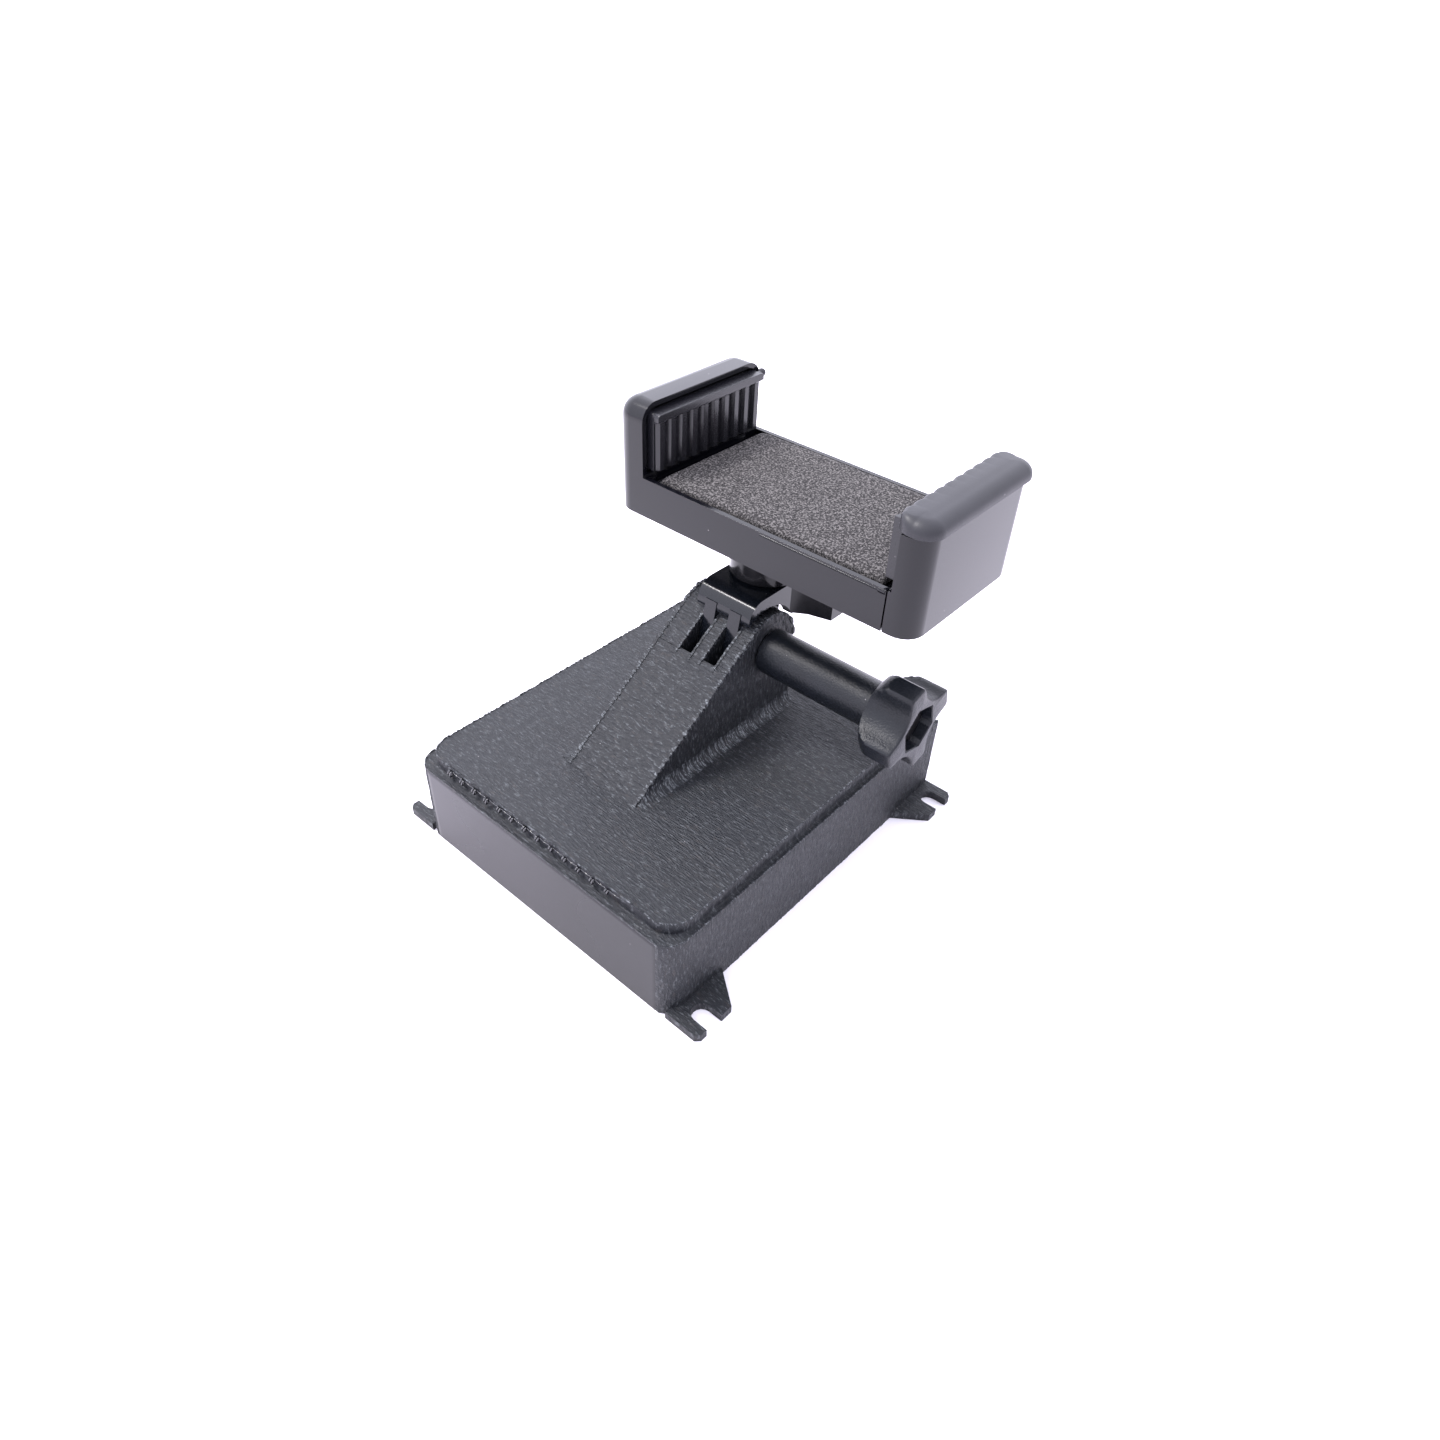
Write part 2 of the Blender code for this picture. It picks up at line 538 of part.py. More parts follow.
def make_clamp_base():
    section = arc(CLAMP_LEFT + HEEL_RADIUS, CLAMP_Z + HEEL_RADIUS, HEEL_RADIUS, 180, 270, 5)
    section += [(SEAM, CLAMP_Z), (SEAM, BED_Z), (JAW_INNER, BED_Z), (JAW_INNER, JAW_Z)]
    section += arc(CLAMP_LEFT + TOP_RADIUS, JAW_Z - TOP_RADIUS, TOP_RADIUS, 90, 180, 6)
    plan = rounded(CLAMP_LEFT, SEAM, CLAMP_Y0, CLAMP_Y1, (EDGE_RADIUS, 0, 0, EDGE_RADIUS), 6)
    side = rounded(CLAMP_Y0, CLAMP_Y1, CLAMP_Z - 1, JAW_Z, (0, 0, TOP_RADIUS, TOP_RADIUS), 6)
    base = common(prism("clamp_base", section, "Y", CLAMP_Y0 - 1, CLAMP_Y1 + 1),
                  prism("plan", plan, "Z", CLAMP_Z - 1, JAW_Z + 1),
                  prism("side", side, "X", CLAMP_LEFT - 1, SEAM + 1))
    join(base, *make_boss())
    rim = (CLAMP_Y0 + RIM_WALL, CLAMP_Y1 - RIM_WALL)
    tools = corner_cutters()
    tools += [box("recess", (JAW_INNER + 0.5, SEAM + 1), rim, (SEAT_Z, BED_Z + 1)),
             prism("cavity", cavity_outline(), "Z", CLAMP_Z + FLOOR, SEAT_Z + 1)]
    recess = rounded(MID_Y - PAD_LENGTH / 2 - 0.6, MID_Y + PAD_LENGTH / 2 + 0.6, CLAMP_Z + PAD_FOOT - 0.5,
                     JAW_Z - 1.0, (0, 0, 2.2, 2.2), 5)
    tools.append(prism("pad_recess", recess, "X", JAW_INNER - PAD_SEAT, JAW_INNER + 1))
    for side_y in (-1, 1):
        rod = circle(MID_Y + side_y * ROD_SPREAD, ROD_Z, ROD_RADIUS + RUN, 20)
        spring = circle(MID_Y + side_y * SPRING_SPREAD, ROD_Z, SPRING_RADIUS + SPRING_WIRE + RUN, 20)
        tools.append(prism("rod_hole", rod, "X", SEAM - 4, SEAM + 1))
        tools.append(prism("spring_hole", spring, "X", SEAM - 4, SEAM + 1))
    for x, y in screw_places():
        tools.append(prism("screw_hole", circle(x, y, SCREW_SHANK + GAP, 16), "Z", CLAMP_Z + 1.2, SEAT_Z + 1))
    tools.append(prism("insert_hole", circle(0, PAN_Y, INSERT_RADIUS + GAP), "Z", BOSS_Z - 1,
                       BOSS_Z + INSERT_LENGTH + 2 * GAP + 0.5))
    return cut(base, *tools)


def make_insert():
    low = BOSS_Z + GAP
    high = low + INSERT_LENGTH
    inner = STUD_RADIUS + GAP
    groove = INSERT_RADIUS - 0.4
    middle = (low + high) / 2
    profile = [(low, inner), (low, INSERT_RADIUS), (middle - 0.8, INSERT_RADIUS), (middle - 0.5, groove),
               (middle + 0.5, groove), (middle + 0.8, INSERT_RADIUS), (high, INSERT_RADIUS), (high, inner)]
    return turned("threaded_insert", profile, "Z", (0, PAN_Y))


def make_bed_plate():
    edge = RIM_WALL + GAP
    low = SEAT_Z + GAP
    plate = box("bed_plate", (JAW_INNER + 0.5 + GAP, SEAM - 0.3), (CLAMP_Y0 + edge, CLAMP_Y1 - edge),
                (low, low + BED_PLATE))
    holes = []
    for x, y in screw_places():
        sink = [(low - 1, 0), (low - 1, SCREW_SHANK + GAP), (low + 0.2, SCREW_SHANK + GAP),
                (low + BED_PLATE + 0.01, SCREW_HEAD + GAP), (low + BED_PLATE + 1, SCREW_HEAD + GAP),
                (low + BED_PLATE + 1, 0)]
        holes.append(turned("sink", sink, "Z", (x, y), 20))
    return cut(plate, *holes)


def make_bed_screws():
    low = SEAT_Z + GAP
    top = low + BED_PLATE
    made = []
    for index, (x, y) in enumerate(screw_places(), 1):
        profile = [(CLAMP_Z + 1.8, 0), (CLAMP_Z + 1.8, SCREW_SHANK), (low + 0.35, SCREW_SHANK),
                   (top - 0.1, SCREW_HEAD - 0.15), (top, SCREW_HEAD - 0.15), (top, 0)]
        made.append(turned(f"bed_screw_{index}", profile, "Z", (x, y), 16))
    return made


def make_foam():
    edge = RIM_WALL + 0.5
    low = SEAT_Z + GAP + BED_PLATE + GAP
    left = JAW_INNER - PAD_SEAT + GAP + PAD_FACE + RIB_HEIGHT + LIP_OVERHANG + GAP
    right = GRIP_X - GAP - PAD_BACKING - RIB_HEIGHT - GAP
    return box("foam_pad", (left, right),
               (CLAMP_Y0 + edge, CLAMP_Y1 - edge), (low, low + FOAM_THICKNESS))


def ribbed(name, back_x, face_x, tip_x, z0, z1):
    """A pad with upright ribs; the ribs stand out from face_x to tip_x."""
    start = MID_Y - PAD_LENGTH / 2
    outline = [(back_x, start), (face_x, start)]
    for index in range(RIB_COUNT):
        y = start + index * RIB_PITCH
        outline += [(face_x, y + 0.5), (tip_x, y + 0.95), (tip_x, y + RIB_PITCH - 0.95),
                    (face_x, y + RIB_PITCH - 0.5)]
    outline += [(face_x, start + PAD_LENGTH), (back_x, start + PAD_LENGTH)]
    return prism(name, outline, "Z", z0, z1)


def make_left_pad():
    back = JAW_INNER - PAD_SEAT + GAP
    face = back + PAD_FACE
    top = JAW_Z - 1.0 - 0.6
    foot = CLAMP_Z + PAD_FOOT
    pad = ribbed("left_grip_pad", back, face, face + RIB_HEIGHT, foot, top - LIP_HEIGHT / 2)
    half = PAD_LENGTH / 2
    lip = rounded(MID_Y - half, MID_Y + half, top - LIP_HEIGHT, top, (0, 0, 0.7, 0.7), 3)
    return join(pad, prism("lip", lip, "X", back, face + RIB_HEIGHT + LIP_OVERHANG))


def make_slider():
    section = [(SLIDER_X0, CLAMP_Z), (SLIDER_X1, CLAMP_Z), (SLIDER_X1, SLIDER_Z), (GRIP_X, SLIDER_Z),
               (GRIP_X, BED_Z), (SLIDER_X0, BED_Z)]
    plan = rounded(SLIDER_X0 - 1, SLIDER_X1, CLAMP_Y0, CLAMP_Y1, (0, EDGE_RADIUS, EDGE_RADIUS, 0), 6)
    jaw = common(prism("sliding_jaw", section, "Y", CLAMP_Y0, CLAMP_Y1),
                 prism("plan", plan, "Z", CLAMP_Z - 1, SLIDER_Z + 1))
    holes = []
    for side in (-1, 1):
        rod = circle(MID_Y + side * ROD_SPREAD, ROD_Z, ROD_RADIUS + GAP, 20)
        spring = circle(MID_Y + side * SPRING_SPREAD, ROD_Z, SPRING_RADIUS + SPRING_WIRE + RUN, 20)
        holes.append(prism("rod_hole", rod, "X", SLIDER_X0 - 1, SLIDER_X0 + ROD_SEAT))
        holes.append(prism("spring_hole", spring, "X", SLIDER_X0 - 1, SLIDER_X0 + 2))
    return cut(jaw, *holes)


def make_cap():
    back = GRIP_X - GAP
    face = back - PAD_BACKING
    low = SLIDER_Z + GAP
    high = low + CAP_THICKNESS
    cap = ribbed("right_grip_cap", back, face, face - RIB_HEIGHT, CLAMP_Z + PAD_FOOT, high - 0.6)
    outer = SLIDER_X1 + CAP_OVERHANG
    plan = rounded(face, outer, CLAMP_Y0 - 0.3, CLAMP_Y1 + 0.3, (0.8, 4.6, 4.6, 0.8), 6)
    side = [(face, low)] + [(outer, low)] + arc(outer - 1.6, high - 1.6, 1.6, 0, 90, 5) + [(face, high)]
    roof = common(prism("roof", plan, "Z", low, high),
                  prism("side", side, "Y", CLAMP_Y0 - 1, CLAMP_Y1 + 1))
    return join(cap, roof)


# ---- rods and springs inside the clamp -----------------------------------------------------------------
def make_rod(name, side):
    end = SLIDER_X0 + ROD_SEAT - GAP
    profile = [(ROD_LEFT, 0), (ROD_LEFT, ROD_RADIUS - 0.3), (ROD_LEFT + 0.3, ROD_RADIUS), (end, ROD_RADIUS),
               (end, 0)]
    return turned(name, profile, "X", (MID_Y + side * ROD_SPREAD, ROD_Z), 20)


def make_spring(name, side):
    """A close-wound tension spring: a wire carried along a helix."""
    per_turn = 12
    count = SPRING_TURNS * per_turn + 1
    start = ROD_LEFT
    length = SLIDER_X0 + 1 - start
    centre_y = MID_Y + side * SPRING_SPREAD
    points = []
    for i in range(count):
        turn = 2 * pi * i / per_turn
        along = start + length * i / (count - 1)
        for k in range(4):
            corner = pi / 2 * k
            radius = SPRING_RADIUS + SPRING_WIRE * cos(corner)
            points.append(point("X", centre_y + radius * cos(turn), ROD_Z + radius * sin(turn),
                                along + SPRING_WIRE * sin(corner)))
    faces = [(0, 1, 2, 3), tuple(4 * (count - 1) + k for k in range(4))]
    for i in range(count - 1):
        for k in range(4):
            m = (k + 1) % 4
            faces.append((4 * i + k, 4 * i + m, 4 * (i + 1) + m, 4 * (i + 1) + k))
    return solid(name, points, faces)


# ---- assembly ------------------------------------------------------------------------------------------
def finish(pieces, made):
    for piece in pieces:
        piece.data.materials.clear()
        piece.data.materials.append(made)


def main():
    for thing in list(bpy.data.objects):
        bpy.data.objects.remove(thing)
    printed = material("printed_black", (0.045, 0.050, 0.060), 0.55)
    moulded = material("moulded_black", (0.035, 0.035, 0.040), 0.40)
    gloss = material("gloss_black", (0.020, 0.022, 0.028), 0.22)
    rubber = material("grip_rubber", (0.030, 0.032, 0.034), 0.60)
    foam = material("grey_foam", (0.33, 0.32, 0.31), 0.95)
    chrome = material("chrome", (0.80, 0.76, 0.76), 0.12, 1.0)
    steel = material("steel", (0.55, 0.55, 0.56), 0.30, 1.0)
    brass = material("brass", (0.72, 0.53, 0.25), 0.30, 1.0)
    finish([make_base()], printed)
    knob = make_knob()
    bolt = make_bolt()
    for piece in (knob, bolt):
        set_origin(piece, 0, PIVOT_Y, PIVOT_Z)
    finish([knob, make_adapter()], gloss)
    finish([bolt], steel)
    finish([make_nut()], chrome)
    finish([make_stud()], steel)
    finish([make_washer()], rubber)
    finish([make_clamp_base(), make_slider(), make_bed_plate()], moulded)
    finish([make_left_pad(), make_cap()], rubber)
    finish([make_foam()], foam)
    finish([make_insert()], brass)
    finish(make_bed_screws(), steel)
    finish([make_rod("guide_rod_front", -1), make_rod("guide_rod_rear", 1)], steel)
    finish([make_spring("spring_front", -1), make_spring("spring_rear", 1)], steel)


main()
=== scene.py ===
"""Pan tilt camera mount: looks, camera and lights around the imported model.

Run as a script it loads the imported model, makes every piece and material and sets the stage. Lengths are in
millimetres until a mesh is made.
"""
import json
from math import asin, atan2, cos, hypot, pi, radians, sin, sqrt

import bpy
import bmesh
import numpy as np
from bpy.props import FloatProperty, FloatVectorProperty, PointerProperty
from mathutils import Matrix, Vector


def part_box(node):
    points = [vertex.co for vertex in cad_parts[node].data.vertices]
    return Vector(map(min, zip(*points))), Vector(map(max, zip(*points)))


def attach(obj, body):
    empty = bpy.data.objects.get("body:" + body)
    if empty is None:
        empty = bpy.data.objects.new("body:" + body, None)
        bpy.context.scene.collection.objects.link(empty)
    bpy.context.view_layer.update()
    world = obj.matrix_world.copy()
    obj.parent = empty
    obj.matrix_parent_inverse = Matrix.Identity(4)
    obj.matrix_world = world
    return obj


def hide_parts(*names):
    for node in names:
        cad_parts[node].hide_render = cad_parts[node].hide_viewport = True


bl_info = {
    "name": "Pan tilt camera mount",
    "version": (1, 0, 0),
    "blender": (4, 5, 0),
    "location": "3D View > Sidebar > Camera mount",
    "description": "Surface detail, materials and studio for a printed pan tilt camera mount",
    "category": "Object",
}

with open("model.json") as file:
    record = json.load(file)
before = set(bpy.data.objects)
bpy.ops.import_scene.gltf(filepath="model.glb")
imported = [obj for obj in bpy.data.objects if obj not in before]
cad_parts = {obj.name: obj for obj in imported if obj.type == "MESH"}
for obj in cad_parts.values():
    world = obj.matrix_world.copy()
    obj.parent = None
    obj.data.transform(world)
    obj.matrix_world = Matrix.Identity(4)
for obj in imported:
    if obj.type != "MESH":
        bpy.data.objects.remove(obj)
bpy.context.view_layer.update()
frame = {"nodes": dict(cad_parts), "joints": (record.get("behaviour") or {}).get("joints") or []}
NODES = frame["nodes"]
MM = 0.001


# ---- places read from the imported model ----
def box_mm(node):
    """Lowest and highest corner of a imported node, in millimetres."""
    return [np.array(corner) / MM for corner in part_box(node)]


def joint_mm(name):
    """A point on a joint's axis, in millimetres."""
    found = [j for j in frame["joints"] if j["name"] == name][0]
    return np.array(found["pos_m"]) / MM


BASE_LOW, BASE_HIGH = box_mm("base_housing")
CLAMP_LOW, CLAMP_HIGH = box_mm("clamp_base")
JAW_LOW, JAW_HIGH = box_mm("sliding_jaw")
CAP_LOW, CAP_HIGH = box_mm("right_grip_cap")
PAD_LOW, PAD_HIGH = box_mm("left_grip_pad")
FOAM_LOW, FOAM_HIGH = box_mm("foam_pad")
PIVOT = joint_mm("tilt")
FRONT_Y = float(BASE_LOW[1])
BACK_Y = float(BASE_HIGH[1])
CORNER_PAST = 0.46           # how far the circles of the box's front corners would pass its front face


# ---- settings a user would change ----
def number(label, words, value, **more):
    return FloatProperty(name=label, description=words, default=value, **more)


def length(label, words, value):
    return number(label, words, value, min=0.0, soft_max=100.0)


def colour(label, words, value):
    return FloatVectorProperty(name=label, description=words, default=value, subtype="COLOR", size=3,
                               min=0.0, max=1.0)


class PrintSettings(bpy.types.PropertyGroup):
    """Sizes of the printed base that its surface detail follows, in millimetres."""
    half_width: length("Half width", "Half the width of the printed box", 35.0)
    rim: length("Rim height", "Height of the box below its raised panel", 19.1)
    lid: length("Panel height", "Height of the raised panel's top", 21.65)
    inset: length("Panel inset", "From the box's side to the raised panel", 1.25)
    panel_front: length("Panel front", "From the front face to the raised panel", 1.9)
    corner: length("Corner radius", "Radius of the box's front corners", 5.0)
    arm_left: number("Arm left", "Left face of the tilt arm", -10.4)
    arm_right: number("Arm right", "Right face of the tilt arm", 7.9)
    arm_front: length("Arm front", "From the front face to the foot of the arm's slope", 18.9)
    arm_round: length("Arm rounding", "Radius of the arm's top", 7.8)
    fillet: length("Fillet", "Radius of the hollow where the arm meets the panel", 2.3)
    slot_width: length("Slot width", "Width of a slot for one of the adapter's fingers", 3.2)
    slot_pitch: length("Slot pitch", "Between the middles of the two slots", 6.2)
    slot_round: length("Slot radius", "Radius of the cut that the adapter's fingers turn in", 12.7)
    fuzz: length("Layer roughness", "How far the printed layers stand out", 0.22)
    layer: length("Layer pitch", "Width of one printed layer", 0.30)


class GripSettings(bpy.types.PropertyGroup):
    """Sizes of the clamp's rubber, in millimetres."""
    rib_pitch: length("Rib pitch", "From one rib of the right grip to the next", 3.0)
    rib_depth: length("Rib depth", "How far the right grip's ribs stand out", 0.75)
    ribbed: length("Ribbed length", "Length of the right grip's ribbed face", 30.0)
    corner: length("Corner radius", "Radius of the right cap's corners", 3.6)
    lip: length("Lip radius", "Radius of the left pad's lip", 0.92)


class KnobSettings(bpy.types.PropertyGroup):
    """Sizes of the thumbscrew's plastic, in millimetres."""
    sleeve: length("Sleeve radius", "Radius of the sleeve", 4.73)
    bore: length("Bore radius", "Radius of the hole round the bolt", 2.8)
    wing: length("Wing radius", "From the axis to the corners of a wing's tip", 9.8)
    waist: length("Waist radius", "From the axis to the bottom of a hollow", 5.9)
    head: length("Head length", "Length of the winged end", 9.2)
    dome: length("Dome length", "Length over which the wings grow out of the sleeve", 5.6)
    dome_radius: length("Dome radius", "Radius of the dome where the wings are full", 10.0)
    edge: length("Edge rounding", "Radius of the rounding round the end", 0.45)
    recess: length("Recess", "From the axis to a flat of the hexagonal recess", 4.33)
    depth: length("Recess depth", "Depth of the hexagonal recess", 6.0)


class FinishSettings(bpy.types.PropertyGroup):
    """Colours of the mount's materials."""
    printed: colour("Print", "Printed plastic", (0.0045, 0.0056, 0.0078))
    # The print glint is a painted highlight: pale colour where stretched filament would catch the light.
    glint: colour("Print glint", "Stretched filament that catches the light", (0.100, 0.108, 0.114))
    moulded: colour("Moulding", "Moulded clamp plastic", (0.0022, 0.0022, 0.0036))
    gloss: colour("Gloss", "Glossy adapter plastic", (0.004, 0.005, 0.007))
    rubber: colour("Rubber", "Grip rubber", (0.016, 0.016, 0.019))
    foam: colour("Foam", "Bed foam", (0.030, 0.028, 0.028))


class StageSettings(bpy.types.PropertyGroup):
    """Camera and light."""
    lens: number("Lens", "Focal length", 25.383, unit="CAMERA")
    azimuth: number("Azimuth", "How far round the camera stands, in degrees", 39.667)
    elevation: number("Elevation", "How far the camera looks down, in degrees", 39.960)
    roll: number("Roll", "How far the camera leans, in degrees", 2.620)
    spot: FloatVectorProperty(name="Spot", description="Camera's place from the front's foot, in mm",
                              default=(106.6096, -76.0906, 158.2482), size=3)
    tent: number("Tent", "Brightness of the white surroundings", 1.9)
    key: number("Key", "Power of the soft key light", 6.0, unit="POWER")


def settings(name):
    return getattr(bpy.context.scene, name)


# ---- shader maths ----
class Wire:
    """An output socket; arithmetic on it adds Math nodes."""

    def __init__(self, paint, socket):
        self.paint = paint
        self.socket = socket

    def math(self, operation, *values):
        return self.paint.node("ShaderNodeMath", {"operation": operation}, dict(enumerate(values)))

    def between(self, low, high):
        """0 below low, 1 above high, and smooth in between; low may be the larger."""
        values = {"Value": self, "From Min": low, "From Max": high, "To Min": 0.0, "To Max": 1.0}
        return self.paint.node("ShaderNodeMapRange", {"interpolation_type": "SMOOTHSTEP"}, values)


for sign, operation in (("add", "ADD"), ("sub", "SUBTRACT"), ("mul", "MULTIPLY")):
    setattr(Wire, f"__{sign}__", lambda self, other, named=operation: self.math(named, self, other))
    setattr(Wire, f"__r{sign}__", lambda self, other, named=operation: self.math(named, other, self))


class Paint:
    """A new material and the nodes that feed its Principled shader."""

    def __init__(self, name):
        self.material = bpy.data.materials.new(name)
        self.material.use_nodes = True
        self.tree = self.material.node_tree
        self.shader = self.tree.nodes["Principled BSDF"]
        self.place = self.node("ShaderNodeTexCoord", {}, {}, "Object")

    def node(self, kind, given, inputs, output=0):
        """Adds a node, sets what it is given, then links or sets its inputs."""
        made = self.tree.nodes.new(kind)
        for key, value in given.items():
            setattr(made, key, value)
        for key, value in inputs.items():
            if isinstance(value, Wire):
                self.tree.links.new(value.socket, made.inputs[key])
            else:
                made.inputs[key].default_value = value
        return Wire(self, made.outputs[output])

    def stretched(self, x, y, z, shift=0.0):
        """Object coordinates in millimetres, times a scale on each axis."""
        return self.node("ShaderNodeMapping", {}, {"Vector": self.place, "Scale": (x / MM, y / MM, z / MM),
                                                   "Location": (shift, shift * 1.7, shift * 2.3)})

    def noise(self, vector, detail=2.0, roughness=0.5):
        return self.node("ShaderNodeTexNoise", {}, {"Vector": vector, "Scale": 1.0, "Detail": detail,
                                                    "Roughness": roughness})

    def cloud(self, scale, shift=0.0, detail=2.0, roughness=0.5):
        """Noise at one scale on every axis, moved by a shift."""
        return self.noise(self.stretched(scale, scale, scale, shift), detail, roughness)

    def cells(self, scale, shift):
        """Distance to the nearest point of a jittered lattice."""
        values = {"Vector": self.stretched(scale, scale, scale, shift), "Scale": 1.0}
        return self.node("ShaderNodeTexVoronoi", {"feature": "F1"}, values, "Distance")

    def part(self, axis):
        """One coordinate of the object's own place, in millimetres."""
        return self.node("ShaderNodeSeparateXYZ", {}, {0: self.stretched(1, 1, 1)}, axis)

    def mix(self, share, first, second):
        pick = {"data_type": "RGBA"}
        values = {0: share, 6: first if isinstance(first, Wire) else (*first, 1.0),
                  7: second if isinstance(second, Wire) else (*second, 1.0)}
        return self.node("ShaderNodeMix", pick, values, 2)

    def bump(self, height, distance, strength=1.0):
        values = {"Height": height, "Distance": distance * MM, "Strength": strength}
        return self.node("ShaderNodeBump", {}, values)

    def feed(self, **inputs):
        """Links or sets the shader's inputs; an underscore stands for a space."""
        for key, value in inputs.items():
            socket = self.shader.inputs[key.replace("_", " ")]
            if isinstance(value, Wire):
                self.tree.links.new(value.socket, socket)
            elif isinstance(value, tuple):
                socket.default_value = (*value, 1.0)
            else:
                socket.default_value = value
        return self.material


def dust(paint, base, amount=0.5):
    """Mixes small pale specks of dust into a colour, one near the middle of each 4 mm cell."""
    specks = paint.cells(0.24, 3.0).between(0.034, 0.016)
    return paint.mix(specks * amount, base, (0.36, 0.34, 0.34))


def printed_material(name="printed_black", frayed_glint=0.0):
    """Layered print: streaks thin across the layers and long along them, with painted glints where filament
    would catch light.

    Frayed print, from 0 to 1, has longer streaks and more and brighter painted glints.
    """
    look = settings("mount_finish")
    paint = Paint(name)
    along = 0.60 - 0.20 * frayed_glint
    streaks = paint.noise(paint.stretched(along, 3.1, along), 2.0, 0.55)
    fine = paint.noise(paint.stretched(1.7, 6.5, 1.7, 4.0), 2.0, 0.6)
    broad = paint.cloud(0.045, 7.0)
    low = 0.50 - 0.06 * frayed_glint
    # Painted glints: pale dashes in the colour where stretched filament would catch the light.
    painted_glints = streaks.between(low, low + 0.16) * fine.between(0.42, 0.62)
    shade = paint.mix(broad.between(0.3, 0.7), tuple(look.printed), tuple(1.4 * c for c in look.printed))
    pale = tuple(c * (1 + 1.1 * frayed_glint) for c in look.glint)
    shade = paint.mix(painted_glints * 0.7, shade, pale)
    warm = paint.noise(paint.stretched(0.5, 1.6, 0.5, 12.0), 2.0, 0.5).between(0.60, 0.74)
    shade = dust(paint, paint.mix(warm * 0.35, shade, (0.040, 0.033, 0.030)), 0.7)
    height = streaks * 0.7 + fine * 0.3
    return paint.feed(Base_Color=shade, Roughness=0.36 + 0.36 * fine, Specular_IOR_Level=0.38,
                      Normal=paint.bump(height, 0.45, 1.0))


def plate_side_material():
    """The side printed against the smooth bed: glossy, a broad soft painted reflection, painted shade, a few
    specks.

    The painted reflection is a dark band between two levels of a slant, x plus three quarters of z, that noise
    bends. The painted shade darkens the colour from left to right.
    """
    paint = Paint("smooth_print")
    across = paint.part("X")
    # Noise that bends the painted reflection and varies the gloss like a smudge.
    smudge_and_reflection = paint.cloud(0.03, 2.0)
    slant = (across + paint.part("Z") * 0.75) * 0.028 + smudge_and_reflection * 0.6
    # Painted reflection: a dark band in the colour.
    band = slant.between(0.62, 0.80) * slant.between(1.02, 0.84)
    # Painted shade: lighter at the left, darker towards the right.
    shade = paint.mix(across.between(-34.0, 20.0), (0.017, 0.016, 0.021), (0.007, 0.007, 0.009))
    shade = dust(paint, paint.mix(band * 0.5, shade, (0.006, 0.006, 0.008)), 0.45)
    fine = paint.cloud(1.6, 5.0, 2.0, 0.6)
    return paint.feed(Base_Color=shade, Roughness=0.24 + 0.06 * smudge_and_reflection, Specular_IOR_Level=0.23,
                      Normal=paint.bump(fine, 0.003, 0.5))


def moulded_material(name, base, rough, grain, shine=0.34, under=None):
    """Moulded plastic: a fine eroded grain, faint smudges in the gloss, and dust.

    Below the height under, in millimetres, the colour is darker with painted shade, and the plastic duller.
    """
    paint = Paint(name)
    broad = paint.cloud(0.07, 1.0, 3.0, 0.6)
    fine = paint.cloud(3.4, 5.0, 3.0, 0.7)
    shade = paint.mix(broad.between(0.3, 0.75), base, tuple(1.3 * c for c in base))
    shade = dust(paint, shade, 0.55)
    smudge = paint.cloud(0.16, 8.0, 4.0, 0.65)
    gloss = rough + 0.08 * (smudge - 0.5) + 0.05 * (fine - 0.5)
    if under is not None:
        # Painted shade: a darker colour below the height under.
        painted_under_shade = paint.part("Z").between(under + 0.05, under - 0.05)
        shade = paint.mix(painted_under_shade, shade, (0.003, 0.003, 0.004))
        gloss = gloss + 0.04 * painted_under_shade
    return paint.feed(Base_Color=shade, Roughness=gloss, Specular_IOR_Level=shine,
                      Normal=paint.bump(fine, grain, 0.8))


def gloss_material():
    """Polished adapter plastic: even, with faint smudges and a little dust."""
    look = settings("mount_finish")
    paint = Paint("gloss_black")
    smudge = paint.cloud(0.12, 8.0)
    fine = paint.cloud(2.5, 5.0, 2.0, 0.6)
    shade = paint.mix(smudge, tuple(look.gloss), tuple(1.3 * c for c in look.gloss))
    return paint.feed(Base_Color=dust(paint, shade, 0.3), Roughness=0.13 + 0.05 * smudge,
                      Specular_IOR_Level=0.36, Normal=paint.bump(fine, 0.0012, 0.6))


def grained_material():
    """Knob plastic: a spark-eroded grain that sparkles where the light glances off it."""
    look = settings("mount_finish")
    paint = Paint("knob_black")
    grain = paint.cloud(2.6, 5.0, 2.0, 0.65)
    smudge = paint.cloud(0.12, 8.0, 3.0, 0.6)
    shade = paint.mix(smudge.between(0.35, 0.7), tuple(look.gloss), tuple(1.5 * c for c in look.gloss))
    return paint.feed(Base_Color=dust(paint, shade, 0.5), Roughness=0.32 + 0.10 * smudge,
                      Specular_IOR_Level=0.30, Normal=paint.bump(grain, 0.10, 0.9))


def foam_material():
    """Closed-cell foam: pale and dark crumbs a third of a millimetre across."""
    look = settings("mount_finish")
    paint = Paint("grey_foam")
    crumbs = paint.cloud(2.7, 0.0, 3.0, 0.7)
    cells = paint.cells(2.8, 5.0)
    pale = crumbs.between(0.50, 0.60)
    dark = crumbs.between(0.49, 0.40)
    shade = paint.mix(pale * 0.9, tuple(look.foam), (0.155, 0.145, 0.140))
    shade = paint.mix(dark * 0.95, shade, (0.010, 0.009, 0.009))
    shade = paint.mix(cells.between(0.20, 0.08) * 0.9, shade, (0.20, 0.19, 0.185))
    height = crumbs * 0.7 + cells * 0.3
    return paint.feed(Base_Color=shade, Roughness=0.85 + 0.1 * crumbs, Specular_IOR_Level=0.3,
                      Normal=paint.bump(height, 0.30, 1.0))


